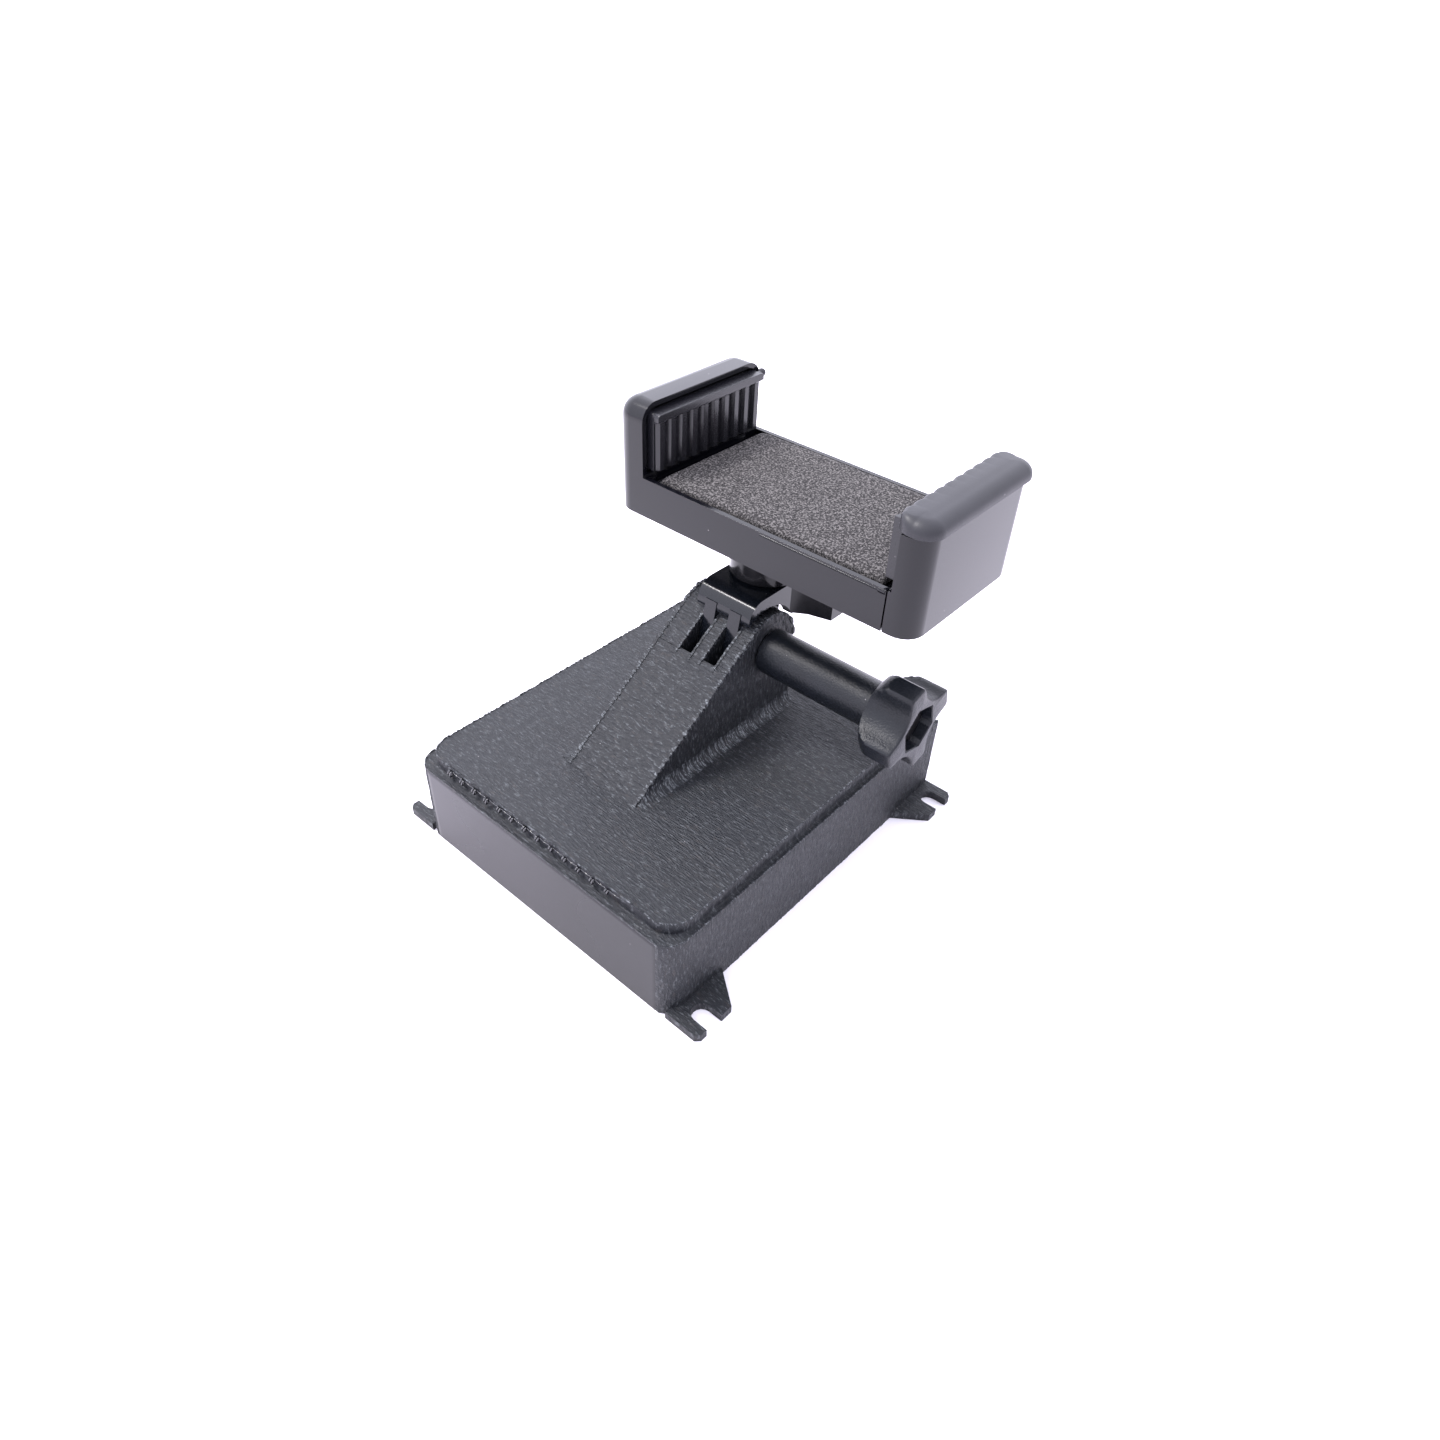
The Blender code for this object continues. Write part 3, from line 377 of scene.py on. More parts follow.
def metal_material(name, base, rough, lines=(1.0, 1.0, 1.0)):
    """Bare metal: drawn or turned lines, and a soft change of polish."""
    paint = Paint(name)
    turned = paint.noise(paint.stretched(*lines, 2.0), 3.0, 0.6)
    broad = paint.cloud(0.25, 5.0)
    shade = paint.mix(broad, base, tuple(0.86 * c for c in base))
    gloss = rough + 0.10 * (broad - 0.5) + 0.06 * (turned - 0.5)
    return paint.feed(Base_Color=shade, Metallic=1.0, Roughness=gloss, Normal=paint.bump(turned, 0.02, 0.5))


# ---- surfaces ----
TABLE = np.random.default_rng(11).random(65536)
STRIDES = (7919, 15485863, 32452843)    # primes that spread u, v and seed over the table


def noise2(u, v, seed=0):
    """Value noise from 0 to 1: table values at whole u and v, eased between their four neighbours."""
    i = np.floor(u).astype(np.int64)
    j = np.floor(v).astype(np.int64)
    fu = u - i
    fv = v - j
    fu = fu * fu * (3 - 2 * fu)
    fv = fv * fv * (3 - 2 * fv)

    def at(a, b):
        return TABLE[(a * STRIDES[0] + b * STRIDES[1] + seed * STRIDES[2]) % len(TABLE)]

    low = at(i, j) * (1 - fu) + at(i + 1, j) * fu
    high = at(i, j + 1) * (1 - fu) + at(i + 1, j + 1) * fu
    return low * (1 - fv) + high * fv


def layers(points, pitch):
    """Layers stacked along y: noise that changes every pitch in y and every millimetre of x plus z."""
    along = points[..., 0] * 0.95 + points[..., 2] * 0.90 + points[..., 1] * 0.25
    broad = noise2(points[..., 1] / pitch, along, 3)
    fine = noise2(points[..., 1] / (0.7 * pitch), along * 2.1, 8)
    return 0.6 * broad + 0.4 * fine


def grid(x, y, z):
    """Points from coordinates that fill out to the same rows and columns."""
    return np.stack(np.broadcast_arrays(x, y, z), -1).astype(float)


def grid_mesh(name, top, under, wrap=False, pinched=False):
    """A closed slab from a grid of points and the grid below it.

    Quads join neighbours in rows and columns on both grids, and strips join their edges. With wrap, the last
    column joins the first. The last row of a pinched slab closes on itself and needs no strip.
    """
    rows, cols = top.shape[:2]
    points = np.concatenate([top.reshape(-1, 3), under.reshape(-1, 3)])
    r, c = np.meshgrid(np.arange(rows - 1), np.arange(cols if wrap else cols - 1), indexing="ij")
    n = (c + 1) % cols
    quads = np.stack([r * cols + c, r * cols + n, (r + 1) * cols + n, (r + 1) * cols + c], -1).reshape(-1, 4)
    size = rows * cols
    faces = [quads, quads[:, ::-1] + size]
    k = np.arange(cols if wrap else cols - 1)
    m = (k + 1) % cols
    last = (rows - 1) * cols
    faces.append(np.stack([m, k, k + size, m + size], -1))
    if not pinched:
        faces.append(np.stack([k + last, m + last, m + last + size, k + last + size], -1))
    if not wrap:
        k = np.arange(rows - 1) * cols
        m = k + cols
        faces.append(np.stack([k, m, m + size, k + size], -1))
        faces.append(np.stack([m + cols - 1, k + cols - 1, k + cols - 1 + size, m + cols - 1 + size], -1))
    return mesh_piece(name, points, np.concatenate(faces))


def ring_mesh(name, rings, closed=False):
    """A tube through rings of points; its ends are capped, or with closed the last ring joins the first."""
    rows, cols = rings.shape[:2]
    r, c = np.meshgrid(np.arange(rows if closed else rows - 1), np.arange(cols), indexing="ij")
    m = (r + 1) % rows
    n = (c + 1) % cols
    faces = np.stack([r * cols + c, r * cols + n, m * cols + n, m * cols + c], -1).reshape(-1, 4).tolist()
    if not closed:
        faces += [list(range(cols))[::-1], list(range((rows - 1) * cols, rows * cols))]
    return mesh_piece(name, rings.reshape(-1, 3), faces)


def tube_mesh(name, path, side, lift, outline):
    """An outline carried along an open path, with capped ends.

    A point of the outline (a, b) lies at the path's point plus a times side plus b times lift.
    """
    a = outline[None, :, 0:1]
    b = outline[None, :, 1:2]
    return ring_mesh(name, path[:, None, :] + a * side[:, None, :] + b * lift[:, None, :])


def circle(count):
    """Cosines and sines of equal steps round a circle."""
    turn = np.linspace(0, 2 * pi, count + 1)[:-1]
    return np.stack([np.cos(turn), np.sin(turn)], -1)


def mesh_piece(name, points, faces):
    """A smooth object from points in millimetres, with outward faces."""
    mesh = bpy.data.meshes.new(name)
    mesh.from_pydata((points * MM).tolist(), [], [list(map(int, f)) for f in faces])
    work = bmesh.new()
    work.from_mesh(mesh)
    bmesh.ops.remove_doubles(work, verts=work.verts, dist=1e-7)
    bmesh.ops.recalc_face_normals(work, faces=work.faces)
    work.to_mesh(mesh)
    work.free()
    mesh.shade_smooth()
    mesh.set_sharp_from_angle(angle=radians(60))
    piece = bpy.data.objects.new(name, mesh)
    bpy.context.scene.collection.objects.link(piece)
    return piece


def place(piece, material, body):
    """Gives a new piece its material, and ties it to its body."""
    piece.data.materials.clear()
    piece.data.materials.append(material)
    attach(piece, body)


def dress(node, material):
    """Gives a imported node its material."""
    piece = NODES[node]
    piece.data.materials.clear()
    piece.data.materials.append(material)


def soften(node, width):
    """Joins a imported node's loose triangles and rounds its edges by a width in millimetres."""
    piece = NODES[node]
    piece.data.shade_smooth()
    weld = piece.modifiers.new("weld", "WELD")
    weld.merge_threshold = 1e-6
    bevel = piece.modifiers.new("round", "BEVEL")
    bevel.width = width * MM
    bevel.segments = 3
    bevel.limit_method = "ANGLE"
    bevel.angle_limit = radians(32.0)
    bevel.use_clamp_overlap = True
    even = piece.modifiers.new("even", "WEIGHTED_NORMAL")
    even.mode = "FACE_AREA_WITH_ANGLE"
    even.weight = 100


def unit(vectors):
    return vectors / np.linalg.norm(vectors, axis=-1, keepdims=True)


def path_round(x0, x1, y0, y1, front, back, step):
    """Points round a rectangle with front and back corner radii, and their outward directions.

    Each side and each corner has the same number of points whatever its size, so two such paths match. The
    sides' numbers come from the box's depth and width.
    """
    points = []
    outward = []
    corners = [((x1 - front, y0 + front), front, -90), ((x1 - back, y1 - back), back, 0),
               ((x0 + back, y1 - back), back, 90), ((x0 + front, y0 + front), front, 180)]
    deep = 84
    wide = 70
    sides = [int(deep / step), int(wide / step)] * 2
    for index, ((cx, cy), radius, start) in enumerate(corners):
        turn = np.radians(np.linspace(start, start + 90, 15))
        points.append(np.stack([cx + radius * np.cos(turn), cy + radius * np.sin(turn)], -1))
        outward.append(np.stack([np.cos(turn), np.sin(turn)], -1))
        (nx, ny), after, begin = corners[(index + 1) % 4]
        direction = np.array([cos(radians(begin)), sin(radians(begin))])
        share = np.linspace(0, 1, sides[index] + 2)[1:-1, None]
        end = np.array([nx, ny]) + after * direction
        points.append(points[-1][-1] * (1 - share) + end * share)
        outward.append(np.repeat(direction[None], len(share), 0))
    return np.concatenate(points), np.concatenate(outward)


# ---- printed base ----
def make_front_face(material):
    """Smooth front: a flat grid 0.05 mm ahead of the box, eased back by a quarter circle at its edges."""
    size = settings("mount_print")
    half = size.half_width - size.corner + sqrt(size.corner ** 2 - (size.corner - CORNER_PAST) ** 2)
    s = np.linspace(-half, half, 90)
    t = np.linspace(0.02, size.rim - 0.02, 30)
    xx, zz = np.meshgrid(s, t)
    edge = np.minimum(np.minimum(half - np.abs(xx), size.rim - 0.02 - zz) / 0.25, 1.0)
    back = 0.22 * (1 - np.sqrt(np.clip(1 - (1 - edge) ** 2, 0, 1)))
    top = grid(xx, FRONT_Y - 0.05 + back, zz)
    under = grid(xx, FRONT_Y + 0.5, zz)
    piece = grid_mesh("front_face", top, under)
    place(piece, material, "housing")


def arm_slope():
    """Angle of the arm's slope, and the y and z where it turns into the round top."""
    size = settings("mount_print")
    run = PIVOT[1] - (FRONT_Y + size.arm_front)
    rise = PIVOT[2] - size.lid
    slope = atan2(rise, run) + asin(size.arm_round / hypot(rise, run))
    touch = radians(90) + slope
    return slope, PIVOT[1] + size.arm_round * cos(touch), PIVOT[2] + size.arm_round * sin(touch)


def arm_top(y):
    """Height of the arm over a place y: the slope's line, then the circle round the tilt axis."""
    size = settings("mount_print")
    slope, touch_y, touch_z = arm_slope()
    line = touch_z + (y - touch_y) * np.tan(slope)
    inside = np.clip(size.arm_round ** 2 - (y - PIVOT[1]) ** 2, 0, None)
    return np.where(y < touch_y, line, PIVOT[2] + np.sqrt(inside))


def fringe(points, reach):
    """Moves a skin's first and last columns out along x, by reach times a noise that changes every layer."""
    y = points[:, 0, 1] / settings("mount_print").layer
    ragged = points.copy()
    ragged[:, 0, 0] -= reach * (1.3 * noise2(y, 0 * y, 41) - 0.15)
    ragged[:, -1, 0] += reach * (1.3 * noise2(y, 0 * y, 43) - 0.15)
    return ragged


def skin(name, points, outward, material, depth=0.5, lift=0.0, wrap=False, sink=None):
    """A printed skin: each point moves outward by lift plus the layers' roughness; it is depth thick.

    Where sink is 1 the skin lies 0.3 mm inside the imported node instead.
    """
    size = settings("mount_print")
    height = lift + size.fuzz * layers(points, size.layer)
    if sink is not None:
        height = height * (1 - sink) - 0.3 * sink
    top = points + outward * height[..., None]
    piece = grid_mesh(name, top, points - outward * depth, wrap)
    place(piece, material, "housing")


def make_panel_skin(material):
    """Top of the raised panel: x is s times the half width at y, which follows the corners."""
    size = settings("mount_print")
    y0 = FRONT_Y + size.panel_front + 0.35
    y1 = BACK_Y - size.inset - 0.35
    y = np.arange(y0, y1, 0.20)
    s = np.linspace(-1, 1, 62)
    half = size.half_width - size.inset - 0.1
    near = np.clip(size.corner - (y - y0), 0, size.corner)
    width = half - size.corner + np.sqrt(size.corner ** 2 - near ** 2)
    points = grid(width[:, None] * s, y[:, None], size.lid)
    skin("panel_layers", points, np.array([0.0, 0.0, 1.0]), material)


def make_wall_skin(material):
    """One strip round the box: over the panel's edge, down to the ledge, across it and down the wall.

    A row is its share of the way from panel to wall, its height, how far it lies out from the path, and the
    outward and upward parts of its roughness. The wall's flat front sinks away behind the smooth face.
    """
    size = settings("mount_print")
    half = size.half_width
    panel, panel_out = path_round(size.inset - half, half - size.inset, FRONT_Y + size.panel_front,
                                  BACK_Y - size.inset, size.corner, 1.0, 0.24)
    wall, wall_out = path_round(-half, half, FRONT_Y - CORNER_PAST, BACK_Y, size.corner, 0.4, 0.24)
    flat = wall[:, 1] < FRONT_Y + 0.02
    wall[:, 1] = np.maximum(wall[:, 1], FRONT_Y)
    rows = [(0.0, size.lid, -0.9, 0.0, 1.0), (0.0, size.lid, -0.1, 0.5, 0.85),
            (0.0, size.lid - 0.5, 0.0, 1.0, 0.2), (0.0, size.lid - 1.3, 0.0, 1.0, 0.0),
            (0.0, size.rim + 0.3, 0.0, 1.0, 0.0), (0.25, size.rim, 0.0, 0.0, 1.0),
            (0.6, size.rim, 0.0, 0.0, 1.0), (1.0, size.rim, -0.15, 0.5, 0.85)]
    rows += [(1.0, size.rim - drop, 0.0, 1.0, 0.0) for drop in np.linspace(0.8, size.rim - 0.15, 12)]
    points = []
    outward = []
    sink = []
    for share, height, inset, out, up in rows:
        base = panel * (1 - share) + wall * share
        direction = unit(panel_out * (1 - share) + wall_out * share)
        flow = base + direction * inset
        points.append(np.column_stack([flow, np.full(len(flow), height)]))
        outward.append(np.column_stack([direction * out, np.full(len(flow), up)]))
        smooth = flat & (share >= 1.0)
        sink.append(np.where(smooth, 1.0, 0.0))
    skin("wall_layers", np.array(points), np.array(outward), material, 0.6, 0.0, True, np.array(sink))


def make_arm_skins(material, frayed_glint):
    """Skins on the arm's slope, its three fingers' rounded ends, its edges, its cheeks and their fillets."""
    size = settings("mount_print")
    slope, touch_y, touch_z = arm_slope()
    clear = sqrt(size.slot_round ** 2 - size.arm_round ** 2) + 0.25
    foot = hypot(touch_z - size.lid, touch_y - (FRONT_Y + size.arm_front))
    quarter = -size.arm_round * (radians(90) + slope)

    def strip(name, x0, x1, start, stop, reach=0.30, lift=0.06, finish=material):
        """A skin along the slope, from start to stop, measured back from where it turns into the round top.

        A negative distance runs on round the top.
        """
        along = np.arange(start, stop, -0.13)
        turn = np.clip(-along, 0, None) / size.arm_round
        bend = radians(90) + slope - turn
        y = np.where(along > 0, touch_y - along * cos(slope), PIVOT[1] + size.arm_round * np.cos(bend))
        z = np.where(along > 0, touch_z - along * sin(slope), PIVOT[2] + size.arm_round * np.sin(bend))
        x = np.linspace(x0, x1, max(3, int((x1 - x0) / 0.8)))
        points = grid(x, y[:, None], z[:, None])
        outward = grid(0.0, np.cos(bend)[:, None], np.sin(bend)[:, None])
        skin(name, fringe(points, reach), outward, finish, 0.35, lift)

    inner = size.slot_pitch / 2 - size.slot_width / 2
    outer = size.slot_pitch / 2 + size.slot_width / 2
    strip("slope_layers", size.arm_left + 0.05, size.arm_right - 0.05, foot + 0.4, clear)
    strip("finger_left_layers", size.arm_left + 0.05, -outer - 0.05, clear, quarter)
    strip("finger_middle_layers", -inner + 0.05, inner - 0.05, clear, quarter, 0.12)
    strip("finger_right_layers", outer + 0.05, size.arm_right - 0.05, clear, quarter)
    band = 0.34
    edges = [("left_edge", size.arm_left, size.arm_left + band, foot, band),
             ("right_edge", size.arm_right - band, size.arm_right, foot, band)]
    for which, x in enumerate((-outer - band, -inner, inner - band, outer), 1):
        edges.append((f"slot_{which}_edge", x, x + band, clear + 1.0, 0.16))
    for name, x0, x1, start, reach in edges:
        strip(name, x0, x1, start, quarter, reach, 0.20, frayed_glint)
    make_cheek_skin("left", -1, size.arm_left, material, material)
    make_cheek_skin("right", 1, size.arm_right, material, frayed_glint)


def make_cheek_skin(word, side, x, material, fillet_material):
    """One upright cheek of the arm, sunk round the tilt joint, and the hollow quarter round at its foot."""
    size = settings("mount_print")
    y = np.arange(FRONT_Y + size.arm_front + 3.6, PIVOT[1] + size.arm_round - 0.05, 0.2)
    share = np.linspace(0, 1, 26)
    low = np.minimum(size.lid + size.fillet, arm_top(y) - 0.05)
    points = grid(x, y[:, None], low[:, None] + (arm_top(y) - 0.02 - low)[:, None] * share)
    away = np.hypot(points[..., 1] - PIVOT[1], points[..., 2] - PIVOT[2])
    near = np.clip((5.9 - away) / 0.4, 0, 1)
    skin(f"cheek_{word}_layers", points, np.array([side, 0.0, 0.0]), material, 0.4, -0.02, sink=near)
    turn = np.linspace(0, pi / 2, 9)
    y = np.arange(FRONT_Y + size.arm_front + 0.3, PIVOT[1] + size.arm_round - 0.05, 0.2)
    z = np.minimum(size.lid + size.fillet * (1 - np.sin(turn)), arm_top(y)[:, None])
    points = grid(x + side * size.fillet * (1 - np.cos(turn)), y[:, None], z)
    outward = grid(side * np.cos(turn), 0.0, np.sin(turn))
    skin(f"fillet_{word}_layers", points, outward, fillet_material, 0.4, 0.02)


def make_rim_frays(material):
    """Frayed bead round the panel's top edge and one round the box's rim behind the smooth front.

    A bead of radius 0.1 mm plus noise is carried round the outline; noise also moves it in and out.
    """
    size = settings("mount_print")
    half = size.half_width
    inner = half - size.inset
    panel, panel_out = path_round(-inner, inner, FRONT_Y + size.panel_front, BACK_Y - size.inset,
                                  size.corner, 1.0, 0.16)
    wall, wall_out = path_round(-half, half, FRONT_Y - CORNER_PAST, BACK_Y, size.corner, 0.4, 0.16)
    first = int(np.argmax(wall[:, 1] > FRONT_Y + 0.3))
    last = len(wall) - int(np.argmax(wall[::-1, 1] > FRONT_Y + 0.3))
    for name, path, out, z in (("panel_fray", panel, panel_out, size.lid),
                               ("rim_fray", wall[first:last], wall_out[first:last], size.rim)):
        along = np.arange(len(path)) * 0.55
        jitter = noise2(along, 0 * along, 51)
        flow = np.column_stack([path + out * (0.24 * jitter - 0.16)[:, None], z + 0.02 + 0.16 * jitter])
        side = np.column_stack([out, np.zeros(len(path))])
        lift = np.repeat(np.array([[0.0, 0.0, 1.0]]), len(path), 0)
        girth = (0.10 + 0.12 * noise2(along * 1.3, 0 * along, 57))[:, None]
        piece = tube_mesh(name, flow, side * girth, lift * girth, circle(5))
        place(piece, material, "housing")


def make_overhang_threads(material):
    """Drooping filament under the panel's front edge: a thread that makes two loops every few millimetres.

    In each pitch the thread turns twice round a circle in y and z over the first part of its length, then
    runs on in a shallow sag. The circle's radius is the root of a sine, and the loops are thicker.
    """
    size = settings("mount_print")
    pitch = 3.65
    start = -26.0
    count = 13
    looped = 0.40
    radius_most = 0.60
    t = np.linspace(0, count, count * 110)
    phase = t % 1.0
    share = np.clip(phase / looped, 0, 1)
    loop = np.sin(pi * share) ** 0.5
    swell = 0.75 + 0.35 * noise2(np.floor(t), 0 * t, 17)
    turn = 4 * pi * share
    radius = radius_most * loop * swell
    sag = np.clip((phase - looped) / (1 - looped), 0, 1)
    x = start + pitch * (t - phase) + pitch * (0.30 * share + 0.70 * sag)
    y = FRONT_Y + size.panel_front - 0.16 - radius * (0.6 - 0.6 * np.cos(turn))
    z = size.lid - 0.42 - radius * np.sin(turn) - 0.45 * loop - 0.22 * np.sin(pi * sag)
    path = grid(x, y, z)
    ahead = unit(np.gradient(path, axis=0))
    lift = unit(np.cross(ahead, np.array([0.12, 1.0, 0.05])))
    side = np.cross(lift, ahead)
    thick = (0.10 + 0.11 * loop)[:, None]
    piece = tube_mesh("overhang_threads", path, side * thick, lift * thick, circle(7))
    place(piece, material, "housing")


# ---- clamp ----
def make_foam(material):
    """Foam sheet: a closed sheet whose top is a touch crowned and crumbly and whose cut edges are rounded.

    Its height falls by a share of high powers of the distances from the middle and by a noise of crumbs. Its
    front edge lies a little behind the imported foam's.
    """
    low, high = FOAM_LOW, FOAM_HIGH
    s = np.linspace(-1, 1, 170)
    t = np.linspace(-1, 1, 100)
    crumb = 0.12
    x = (low[0] + high[0]) / 2 + (high[0] - low[0]) / 2 * s
    front = low[1] + 0.45
    y = (front + high[1]) / 2 + (high[1] - front) / 2 * t
    ys, xs = np.meshgrid(y, x, indexing="ij")
    tt, ss = np.meshgrid(t, s, indexing="ij")
    crown = 1 - 0.35 * (ss ** 40 + tt ** 30)
    crumbs = noise2(xs / 0.42, ys / 0.42, 21) * 0.6 + noise2(xs / 0.8, ys / 0.8, 5) * 0.4
    top = grid(xs, ys, low[2] + (high[2] - low[2]) * crown - crumb * (1 - crumbs))
    under = grid(xs, ys, low[2])
    piece = grid_mesh("foam_sheet", top, under)
    place(piece, material, "clamp")
    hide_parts("foam_pad")


def make_pad_lip(material):
    """Rounded rubber lip along the left pad's top: an oval carried along y, notched between the ribs.

    The lower front of the oval rises by a half-cosine over each gap between two ribs.
    """
    low, high = PAD_LOW, PAD_HIGH
    radius = settings("mount_grip").lip
    ribs = 10
    pitch = (high[1] - low[1]) / ribs
    y = np.linspace(low[1] + 0.15, high[1] - 0.1, 240)
    turn = np.linspace(0, 2 * pi, 21)[:-1]
    yy, aa = np.meshgrid(y, turn, indexing="ij")
    across = np.sign(np.cos(aa)) * np.abs(np.cos(aa)) ** 0.8 * radius
    rise = np.sign(np.sin(aa)) * np.abs(np.sin(aa)) ** 0.8 * radius
    wave = np.clip(1.6 * np.cos(2 * pi * (yy - low[1]) / pitch), 0, 1)
    notch = wave * np.clip(np.cos(aa), 0, 1) * np.clip(-np.sin(aa), 0, 1)
    points = grid(high[0] - radius + across - 0.9 * notch, yy, high[2] - radius + rise + 1.5 * notch)
    place(ring_mesh("pad_lip", points), material, "clamp")


def make_pad_nub(material):
    """Small pull tab at the back of the left pad: a bead turned about y, thin at its neck."""
    reach = np.array([0.0, 0.6, 1.1, 1.5, 1.9, 2.3, 2.6, 2.75])[:, None]
    girth = np.array([0.55, 0.50, 0.55, 0.78, 0.86, 0.72, 0.42, 0.02])[:, None]
    cosine, sine = circle(16).T
    x = PAD_LOW[0] + 1.3 + girth * cosine
    z = PAD_HIGH[2] - 0.9 + girth * sine
    piece = ring_mesh("pad_nub", grid(x, PAD_HIGH[1] - 0.3 + reach, z))
    place(piece, material, "clamp")


def make_grip_cap(material):
    """Soft cap over the sliding jaw: a rounded outline whose edge curls over in a quarter ellipse.

    Each ring has an angle from 0 to 90 degrees: it lies in from the outline by reach times one minus its
    cosine and up by rise times its sine, and the last rings shrink to the middle line. Reach and rise are
    large outside and small over the grip face, whose edge is scalloped by a power of a sine.
    """
    size = settings("mount_grip")
    low, high = CAP_LOW, CAP_HIGH
    foot = JAW_HIGH[2] + 0.3
    outline, outward = path_round(low[0] + 0.75, high[0], low[1], high[1], size.corner, size.corner, 0.5)
    outer = np.clip((outward[:, 0] + 1.0) / 1.1, 0, 1)
    outer = outer * outer * (3 - 2 * outer)
    inner = np.clip(-outward[:, 0] - 0.6, 0, 0.4) / 0.4
    middle = (low[1] + high[1]) / 2
    bumps = np.abs(np.sin(pi * (outline[:, 1] - middle) / size.rib_pitch)) ** 0.6
    grip = inner * (np.abs(outline[:, 1] - middle) < size.ribbed / 2 - 0.4)
    outline = outline - outward * (0.55 * grip * (1 - bumps))[:, None]
    reach = 0.8 + 1.9 * outer
    rise = 0.9 + 1.45 * outer
    top = high[2]
    rings = []
    floor_rings = []
    for angle in np.radians(np.linspace(0, 90, 11)):
        inset = reach * (1 - cos(angle))
        flow = outline - outward * inset[:, None]
        rings.append(np.column_stack([flow, top - rise * (1 - sin(angle))]))
        floor_rings.append(np.column_stack([flow, np.full(len(flow), foot)]))
    spine = np.column_stack([np.full(len(outline), (low[0] + high[0]) / 2),
                             np.clip(outline[:, 1], low[1] + 4.5, high[1] - 4.5)])
    edge = rings[-1][:, :2]
    for share in (0.3, 0.6, 1.0):
        flow = edge * (1 - share) + spine * share
        rings.append(np.column_stack([flow, np.full(len(flow), top + 0.12 * share)]))
        floor_rings.append(np.column_stack([flow, np.full(len(flow), foot)]))
    wall = [np.column_stack([outline, np.full(len(outline), foot + 0.02)])]
    under = np.array([floor_rings[0]] + floor_rings)
    piece = grid_mesh("grip_cap_roof", np.array(wall + rings), under, wrap=True, pinched=True)
    place(piece, material, "jaw")
    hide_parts("right_grip_cap")


def make_grip_face(material):
    """Ribbed face under the cap: upright half-round ribs, a power of a cosine of y, on a flat web."""
    size = settings("mount_grip")
    low, high = CAP_LOW, CAP_HIGH
    middle = (low[1] + high[1]) / 2
    y = np.linspace(middle - size.ribbed / 2, middle + size.ribbed / 2, 241)
    z = np.linspace(low[2], JAW_HIGH[2] + 1.6, 24)
    zz, yy = np.meshgrid(z, y, indexing="ij")
    rib = np.abs(np.cos(pi * (yy - middle) / size.rib_pitch)) ** 0.6
    worn = 0.12 * noise2(yy / 1.5, zz / 2.0, 31)
    front = low[0] + 0.8 - size.rib_depth * rib + worn
    piece = grid_mesh("grip_cap_face", grid(front, yy, zz), grid(low[0] + 2.25, yy, zz))
    place(piece, material, "jaw")


def make_parting_bead(material):
    """Moulded bead along the top of the channel's front face, ending in a small stop by the jaw.

    A flat oval is carried along x; over the last millimetre and a half it is 2.6 times as tall.
    """
    start = 10.8
    end = CLAMP_HIGH[0]
    height = JAW_LOW[2] + 7.45
    x = np.concatenate([np.linspace(start, end - 1.6, 40), np.linspace(end - 1.5, end - 0.2, 8)])
    path = grid(x, CLAMP_LOW[1] + 0.02, height)
    grow = np.where(x > end - 1.55, 2.6, 1.0)[:, None]
    side = np.array([[0.0, 1.0, 0.0]]) * np.minimum(grow, 1.5)
    lift = np.array([[0.0, 0.0, 1.0]]) * grow
    piece = tube_mesh("parting_bead", path, side, lift, circle(12) * (0.12, 0.17))
    place(piece, material, "clamp")


# ---- thumbscrew ----
def knob_outline(turn):
    """Radius of the knob's end at an angle: four flat-tipped wings and a hollow arc between each two.

    A wing's tip is a straight line. A hollow is a circle through two tips' corners and the waist; its centre
    lies outside, halfway between the wings.
    """
    size = settings("mount_knob")
    wing = size.wing
    waist = size.waist
    tip = radians(13.0)
    lean = radians(15.0)
    away = np.abs((turn - lean + pi / 4) % (pi / 2) - pi / 4)
    flat = wing * cos(tip) / np.cos(np.minimum(away, tip))
    centre = (wing ** 2 - waist ** 2) / (2 * wing * cos(pi / 4 - tip) - 2 * waist)
    off = pi / 4 - np.maximum(away, tip)
    hollow = centre * np.cos(off) - np.sqrt((centre - waist) ** 2 - (centre * np.sin(off)) ** 2)
    radius = np.where(away < tip, flat, hollow)
    return 0.25 * np.roll(radius, 1) + 0.5 * radius + 0.25 * np.roll(radius, -1)


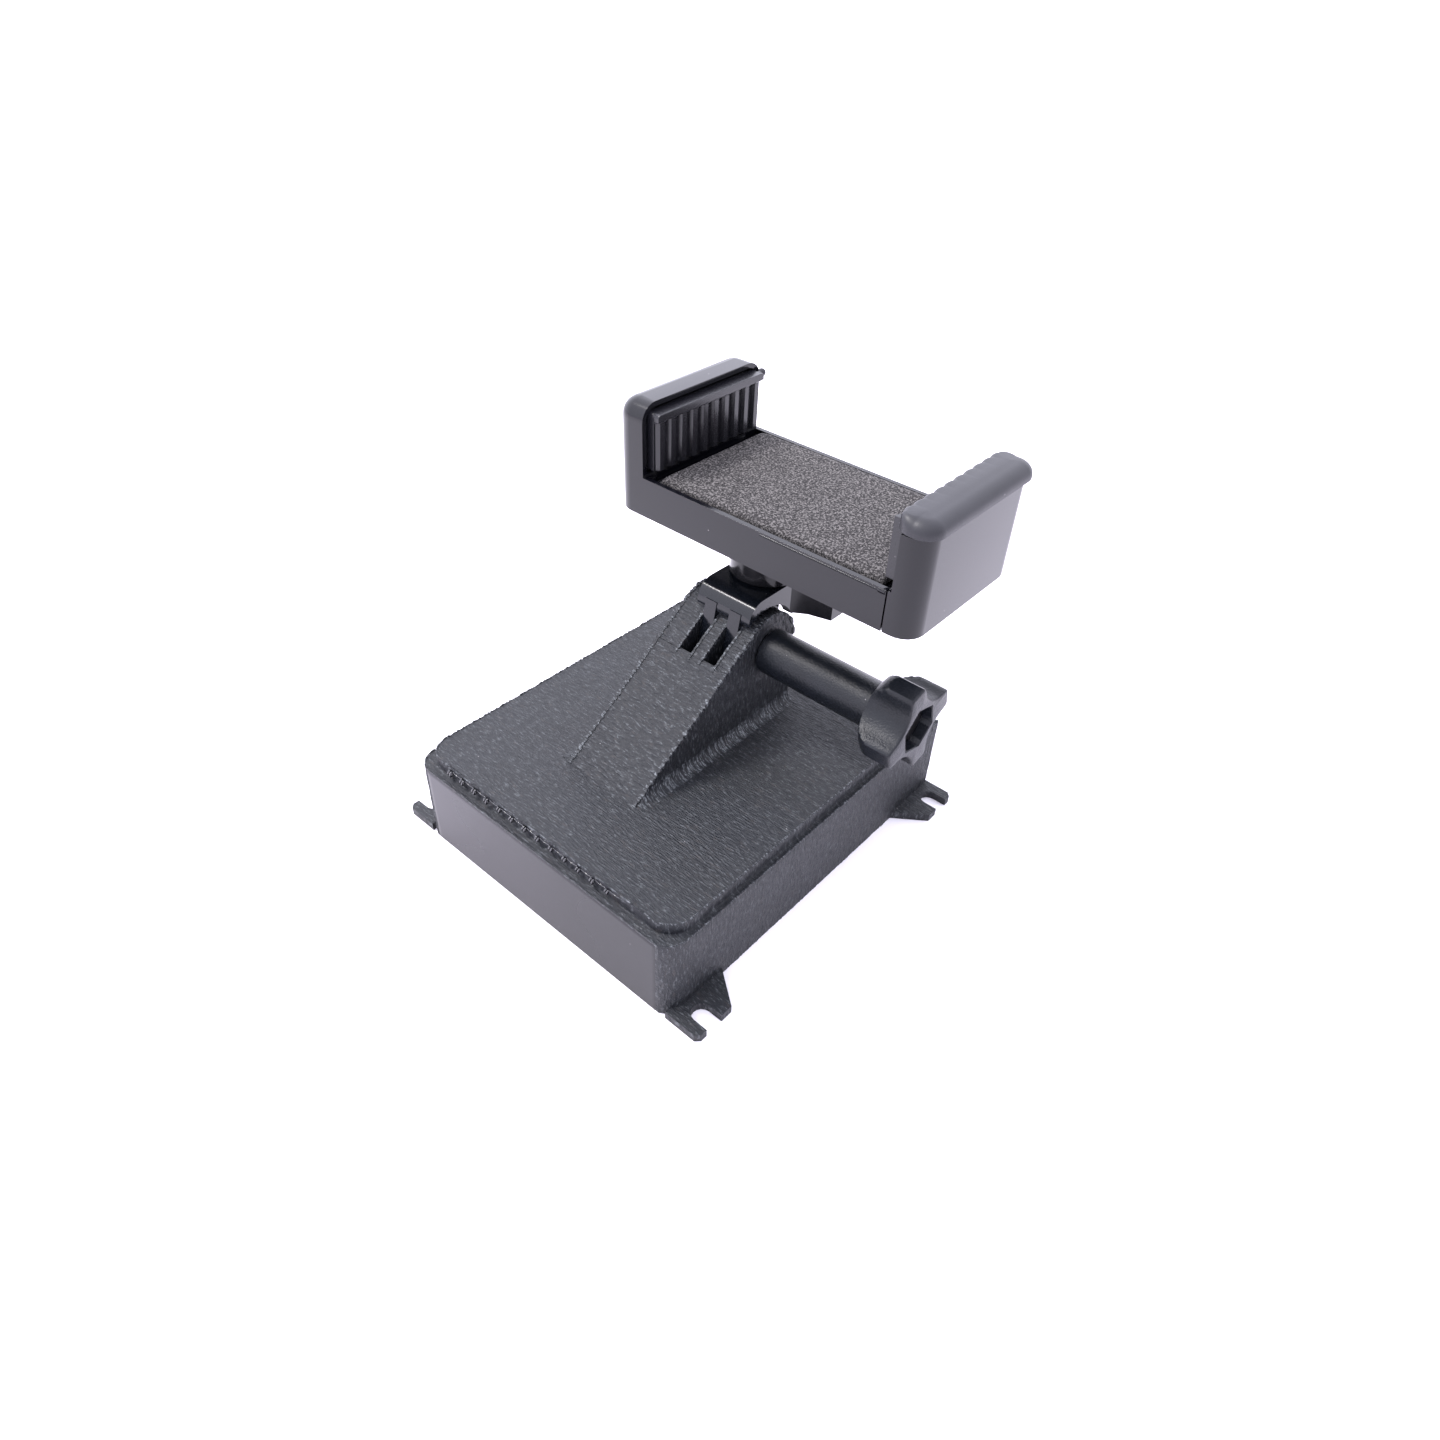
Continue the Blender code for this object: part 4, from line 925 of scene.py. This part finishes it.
def make_knob_body(material):
    """Sleeve and winged knob in one closed surface turned about the tilt axis.

    At a place along x the radius is the smaller of the wings' outline and a quarter-ellipse dome, so the
    hollows cut the dome in a crescent. The end has a hexagonal recess, and a bore closes the surface.
    """
    size = settings("mount_knob")
    low, high = box_mm("thumb_knob")
    start = low[0]
    end = high[0]
    head = end - size.head
    turn = np.radians(np.arange(144) * 2.5)
    wings = knob_outline(turn)
    whole = np.full(len(turn), 1.0)
    hexagon = size.recess / np.cos((turn - radians(45.0)) % (pi / 3) - pi / 6)
    rings = [(start, size.bore * whole), (start, (size.sleeve - 0.25) * whole),
             (start + 0.25, size.sleeve * whole)]
    rings += [(start + (head - start) * share, size.sleeve * whole) for share in (0.33, 0.66, 0.985)]
    rings += [(head, (size.sleeve + 0.12) * whole)]
    for share in 1 - np.cos(np.radians(np.linspace(8, 90, 22))):
        dome = size.sleeve + (size.dome_radius - size.sleeve) * sqrt(1 - (1 - share) ** 2)
        rings.append((head + size.dome * share, np.minimum(wings, dome)))
    for angle in np.radians([0, 30, 60, 90]):
        rings.append((end - size.edge * (1 - sin(angle)), wings - size.edge * (1 - cos(angle))))
    rings += [(end - 0.02, hexagon + 0.15), (end - 0.2, hexagon), (end - size.depth, hexagon),
              (end - size.depth, size.bore * whole)]
    points = [grid(x, PIVOT[1] + radius * np.cos(turn), PIVOT[2] + radius * np.sin(turn))
              for x, radius in rings]
    piece = ring_mesh("knob_body", np.array(points), closed=True)
    piece.data.set_sharp_from_angle(angle=radians(38))
    place(piece, material, "knob")
    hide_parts("thumb_knob")


# ---- stage ----
def make_floor():
    """Wide flat floor, a fiftieth of a millimetre below the model."""
    paint = Paint("pale_floor")
    grain = paint.cloud(0.02)
    tint = paint.mix(grain, (0.93, 0.90, 0.93), (0.90, 0.87, 0.91))
    surface = paint.feed(Base_Color=tint, Roughness=0.9)
    reach = 12000.0
    drop = 0.02
    corners = [(-reach, -reach, -drop), (reach, -reach, -drop), (reach, reach, -drop), (-reach, reach, -drop)]
    mesh = bpy.data.meshes.new("floor")
    mesh.from_pydata((np.array(corners) * MM).tolist(), [], [(0, 1, 2, 3)])
    floor = bpy.data.objects.new("floor", mesh)
    bpy.context.scene.collection.objects.link(floor)
    mesh.materials.append(surface)


def make_tent(strength):
    """White surroundings that are brighter towards the upper left than towards the lower right."""
    world = bpy.data.worlds.new("tent")
    bpy.context.scene.world = world
    world.use_nodes = True
    tree = world.node_tree
    air = tree.nodes["Background"]
    air.inputs["Color"].default_value = (0.95, 0.95, 1.09, 1.0)
    look = tree.nodes.new("ShaderNodeTexCoord")
    towards = tree.nodes.new("ShaderNodeVectorMath")
    towards.operation = "DOT_PRODUCT"
    towards.inputs[1].default_value = Vector((-0.70, 0.15, 0.70)).normalized()
    ease = tree.nodes.new("ShaderNodeMapRange")
    ease.interpolation_type = "SMOOTHSTEP"
    for key, value in {"From Min": -0.70, "From Max": 1.0, "To Min": strength * 0.75,
                       "To Max": strength * 1.65}.items():
        ease.inputs[key].default_value = value
    tree.links.new(look.outputs["Generated"], towards.inputs[0])
    tree.links.new(towards.outputs["Value"], ease.inputs["Value"])
    tree.links.new(ease.outputs[0], air.inputs["Strength"])


def make_key(power):
    """Soft round lamp at the upper left."""
    lamp = bpy.data.lights.new("key", "AREA")
    lamp.shape = "DISK"
    lamp.size = 0.22
    lamp.energy = power
    lamp.color = (1.0, 0.97, 0.96)
    key = bpy.data.objects.new("key", lamp)
    key.location = (-0.40, -0.18, 0.72)
    aim = Vector((0.0, 0.05, 0.04)) - key.location
    key.rotation_euler = aim.to_track_quat("-Z", "Y").to_euler()
    bpy.context.scene.collection.objects.link(key)


def make_camera(stage):
    """Camera at its spot, turned by azimuth and elevation, then leaned by roll about its line of sight."""
    azimuth = radians(stage.azimuth)
    elevation = radians(stage.elevation)
    roll = radians(stage.roll)
    ahead = Vector((-sin(azimuth) * cos(elevation), cos(azimuth) * cos(elevation), -sin(elevation)))
    right = ahead.cross(Vector((0, 0, 1))).normalized()
    up = right.cross(ahead)
    leaned = cos(roll) * right + sin(roll) * up
    raised = -sin(roll) * right + cos(roll) * up
    lens = bpy.data.cameras.new("camera")
    lens.lens = stage.lens
    lens.clip_start = 0.005
    camera = bpy.data.objects.new("camera", lens)
    turn = Matrix((leaned, raised, -ahead)).transposed()
    spot = (Vector(stage.spot) + Vector((0.0, FRONT_Y, 0.0))) * MM
    camera.matrix_world = Matrix.Translation(spot) @ turn.to_4x4()
    bpy.context.scene.collection.objects.link(camera)
    bpy.context.scene.camera = camera


# ---- operators ----
class MOUNT_OT_printed_base(bpy.types.Operator):
    """Dress the printed base in its layered skins"""
    bl_idname = "mount.printed_base"
    bl_label = "Printed base"

    def execute(self, context):
        material = printed_material()
        dress("base_housing", material)
        make_front_face(plate_side_material())
        make_panel_skin(material)
        make_wall_skin(material)
        # Frayed print with more, brighter painted glints, for the arm's edges, the right fillet and the rim
        # beads.
        frayed_glint = printed_material("frayed_glint_print", 1.0)
        make_arm_skins(material, frayed_glint)
        make_rim_frays(frayed_glint)
        wet = moulded_material("wet_filament", (0.014, 0.014, 0.017), 0.12, 0.002, shine=1.0)
        make_overhang_threads(wet)
        return {"FINISHED"}


class MOUNT_OT_clamp(bpy.types.Operator):
    """Dress the device clamp and its sliding jaw"""
    bl_idname = "mount.clamp"
    bl_label = "Device clamp"

    def execute(self, context):
        look = settings("mount_finish")
        shell = moulded_material("moulded_black", tuple(look.moulded), 0.12, 0.0012, shine=0.33)
        # The clamp base gets painted shade below the foot of the jaw.
        underside = float(JAW_LOW[2])
        base = moulded_material("clamp_black", tuple(look.moulded), 0.12, 0.0012, shine=0.33, under=underside)
        rubber = moulded_material("grip_rubber", tuple(look.rubber), 0.42, 0.014)
        ribs = moulded_material("rib_rubber", (0.006, 0.006, 0.008), 0.25, 0.01, shine=0.45)
        dress("clamp_base", base)
        soften("clamp_base", 0.35)
        dress("sliding_jaw", shell)
        soften("sliding_jaw", 0.35)
        dress("bed_plate", shell)
        make_grip_cap(rubber)
        make_grip_face(ribs)
        dress("left_grip_pad", ribs)
        soften("left_grip_pad", 0.15)
        make_foam(foam_material())
        make_pad_lip(rubber)
        make_pad_nub(rubber)
        make_parting_bead(shell)
        return {"FINISHED"}


class MOUNT_OT_adapter(bpy.types.Operator):
    """Dress the screw adapter and its washer"""
    bl_idname = "mount.adapter"
    bl_label = "Screw adapter"

    def execute(self, context):
        look = settings("mount_finish")
        dress("screw_adapter", gloss_material())
        soften("screw_adapter", 0.35)
        dress("grip_washer", moulded_material("washer_rubber", tuple(look.rubber), 0.6, 0.02))
        return {"FINISHED"}


class MOUNT_OT_thumbscrew(bpy.types.Operator):
    """Dress the thumbscrew, its bolt and the dome nut"""
    bl_idname = "mount.thumbscrew"
    bl_label = "Thumbscrew"

    def execute(self, context):
        look = settings("mount_finish")
        make_knob_body(grained_material())
        dress("tilt_bolt", metal_material("blackened_steel", (0.05, 0.05, 0.055), 0.35))
        soften("tilt_bolt", 0.2)
        dress("dome_nut", metal_material("chrome", (0.27, 0.245, 0.245), 0.12))
        soften("dome_nut", 0.25)
        return {"FINISHED"}


class MOUNT_OT_fittings(bpy.types.Operator):
    """Dress the steel and brass inside the clamp"""
    bl_idname = "mount.fittings"
    bl_label = "Inner fittings"

    def execute(self, context):
        steel = metal_material("steel", (0.56, 0.56, 0.57), 0.28, (0.2, 3.0, 3.0))
        brass = metal_material("brass", (0.72, 0.52, 0.24), 0.30, (0.4, 0.4, 3.0))
        for node in ("guide_rod_front", "guide_rod_rear", "spring_front", "spring_rear", "quarter_inch_stud",
                     "bed_screw_1", "bed_screw_2", "bed_screw_3", "bed_screw_4"):
            dress(node, steel)
        dress("threaded_insert", brass)
        return {"FINISHED"}


class MOUNT_OT_stage(bpy.types.Operator):
    """Set the pale floor, the soft light and the camera"""
    bl_idname = "mount.stage"
    bl_label = "Stage"

    def execute(self, context):
        stage = settings("mount_stage")
        make_floor()
        make_tent(stage.tent)
        make_key(stage.key)
        make_camera(stage)
        context.scene.view_settings.view_transform = "Standard"
        return {"FINISHED"}


STEPS = ("printed_base", "clamp", "adapter", "thumbscrew", "fittings", "stage")


class MOUNT_PT_panel(bpy.types.Panel):
    """Buttons that make each group of pieces"""
    bl_label = "Camera mount"
    bl_idname = "MOUNT_PT_panel"
    bl_space_type = "VIEW_3D"
    bl_region_type = "UI"
    bl_category = "Camera mount"

    def draw(self, context):
        for step in STEPS:
            self.layout.operator(f"mount.{step}")


GROUPS = {"mount_print": PrintSettings, "mount_grip": GripSettings, "mount_knob": KnobSettings,
          "mount_finish": FinishSettings, "mount_stage": StageSettings}
CLASSES = (*GROUPS.values(), MOUNT_OT_printed_base, MOUNT_OT_clamp, MOUNT_OT_adapter, MOUNT_OT_thumbscrew,
           MOUNT_OT_fittings, MOUNT_OT_stage, MOUNT_PT_panel)


def register():
    for item in CLASSES:
        bpy.utils.register_class(item)
    for name, group in GROUPS.items():
        setattr(bpy.types.Scene, name, PointerProperty(type=group))


def unregister():
    for name in GROUPS:
        delattr(bpy.types.Scene, name)
    for item in reversed(CLASSES):
        bpy.utils.unregister_class(item)


def main():
    register()
    for step in STEPS:
        getattr(bpy.ops.mount, step)()
    bpy.context.view_layer.update()


if __name__ == "__main__":
    main()
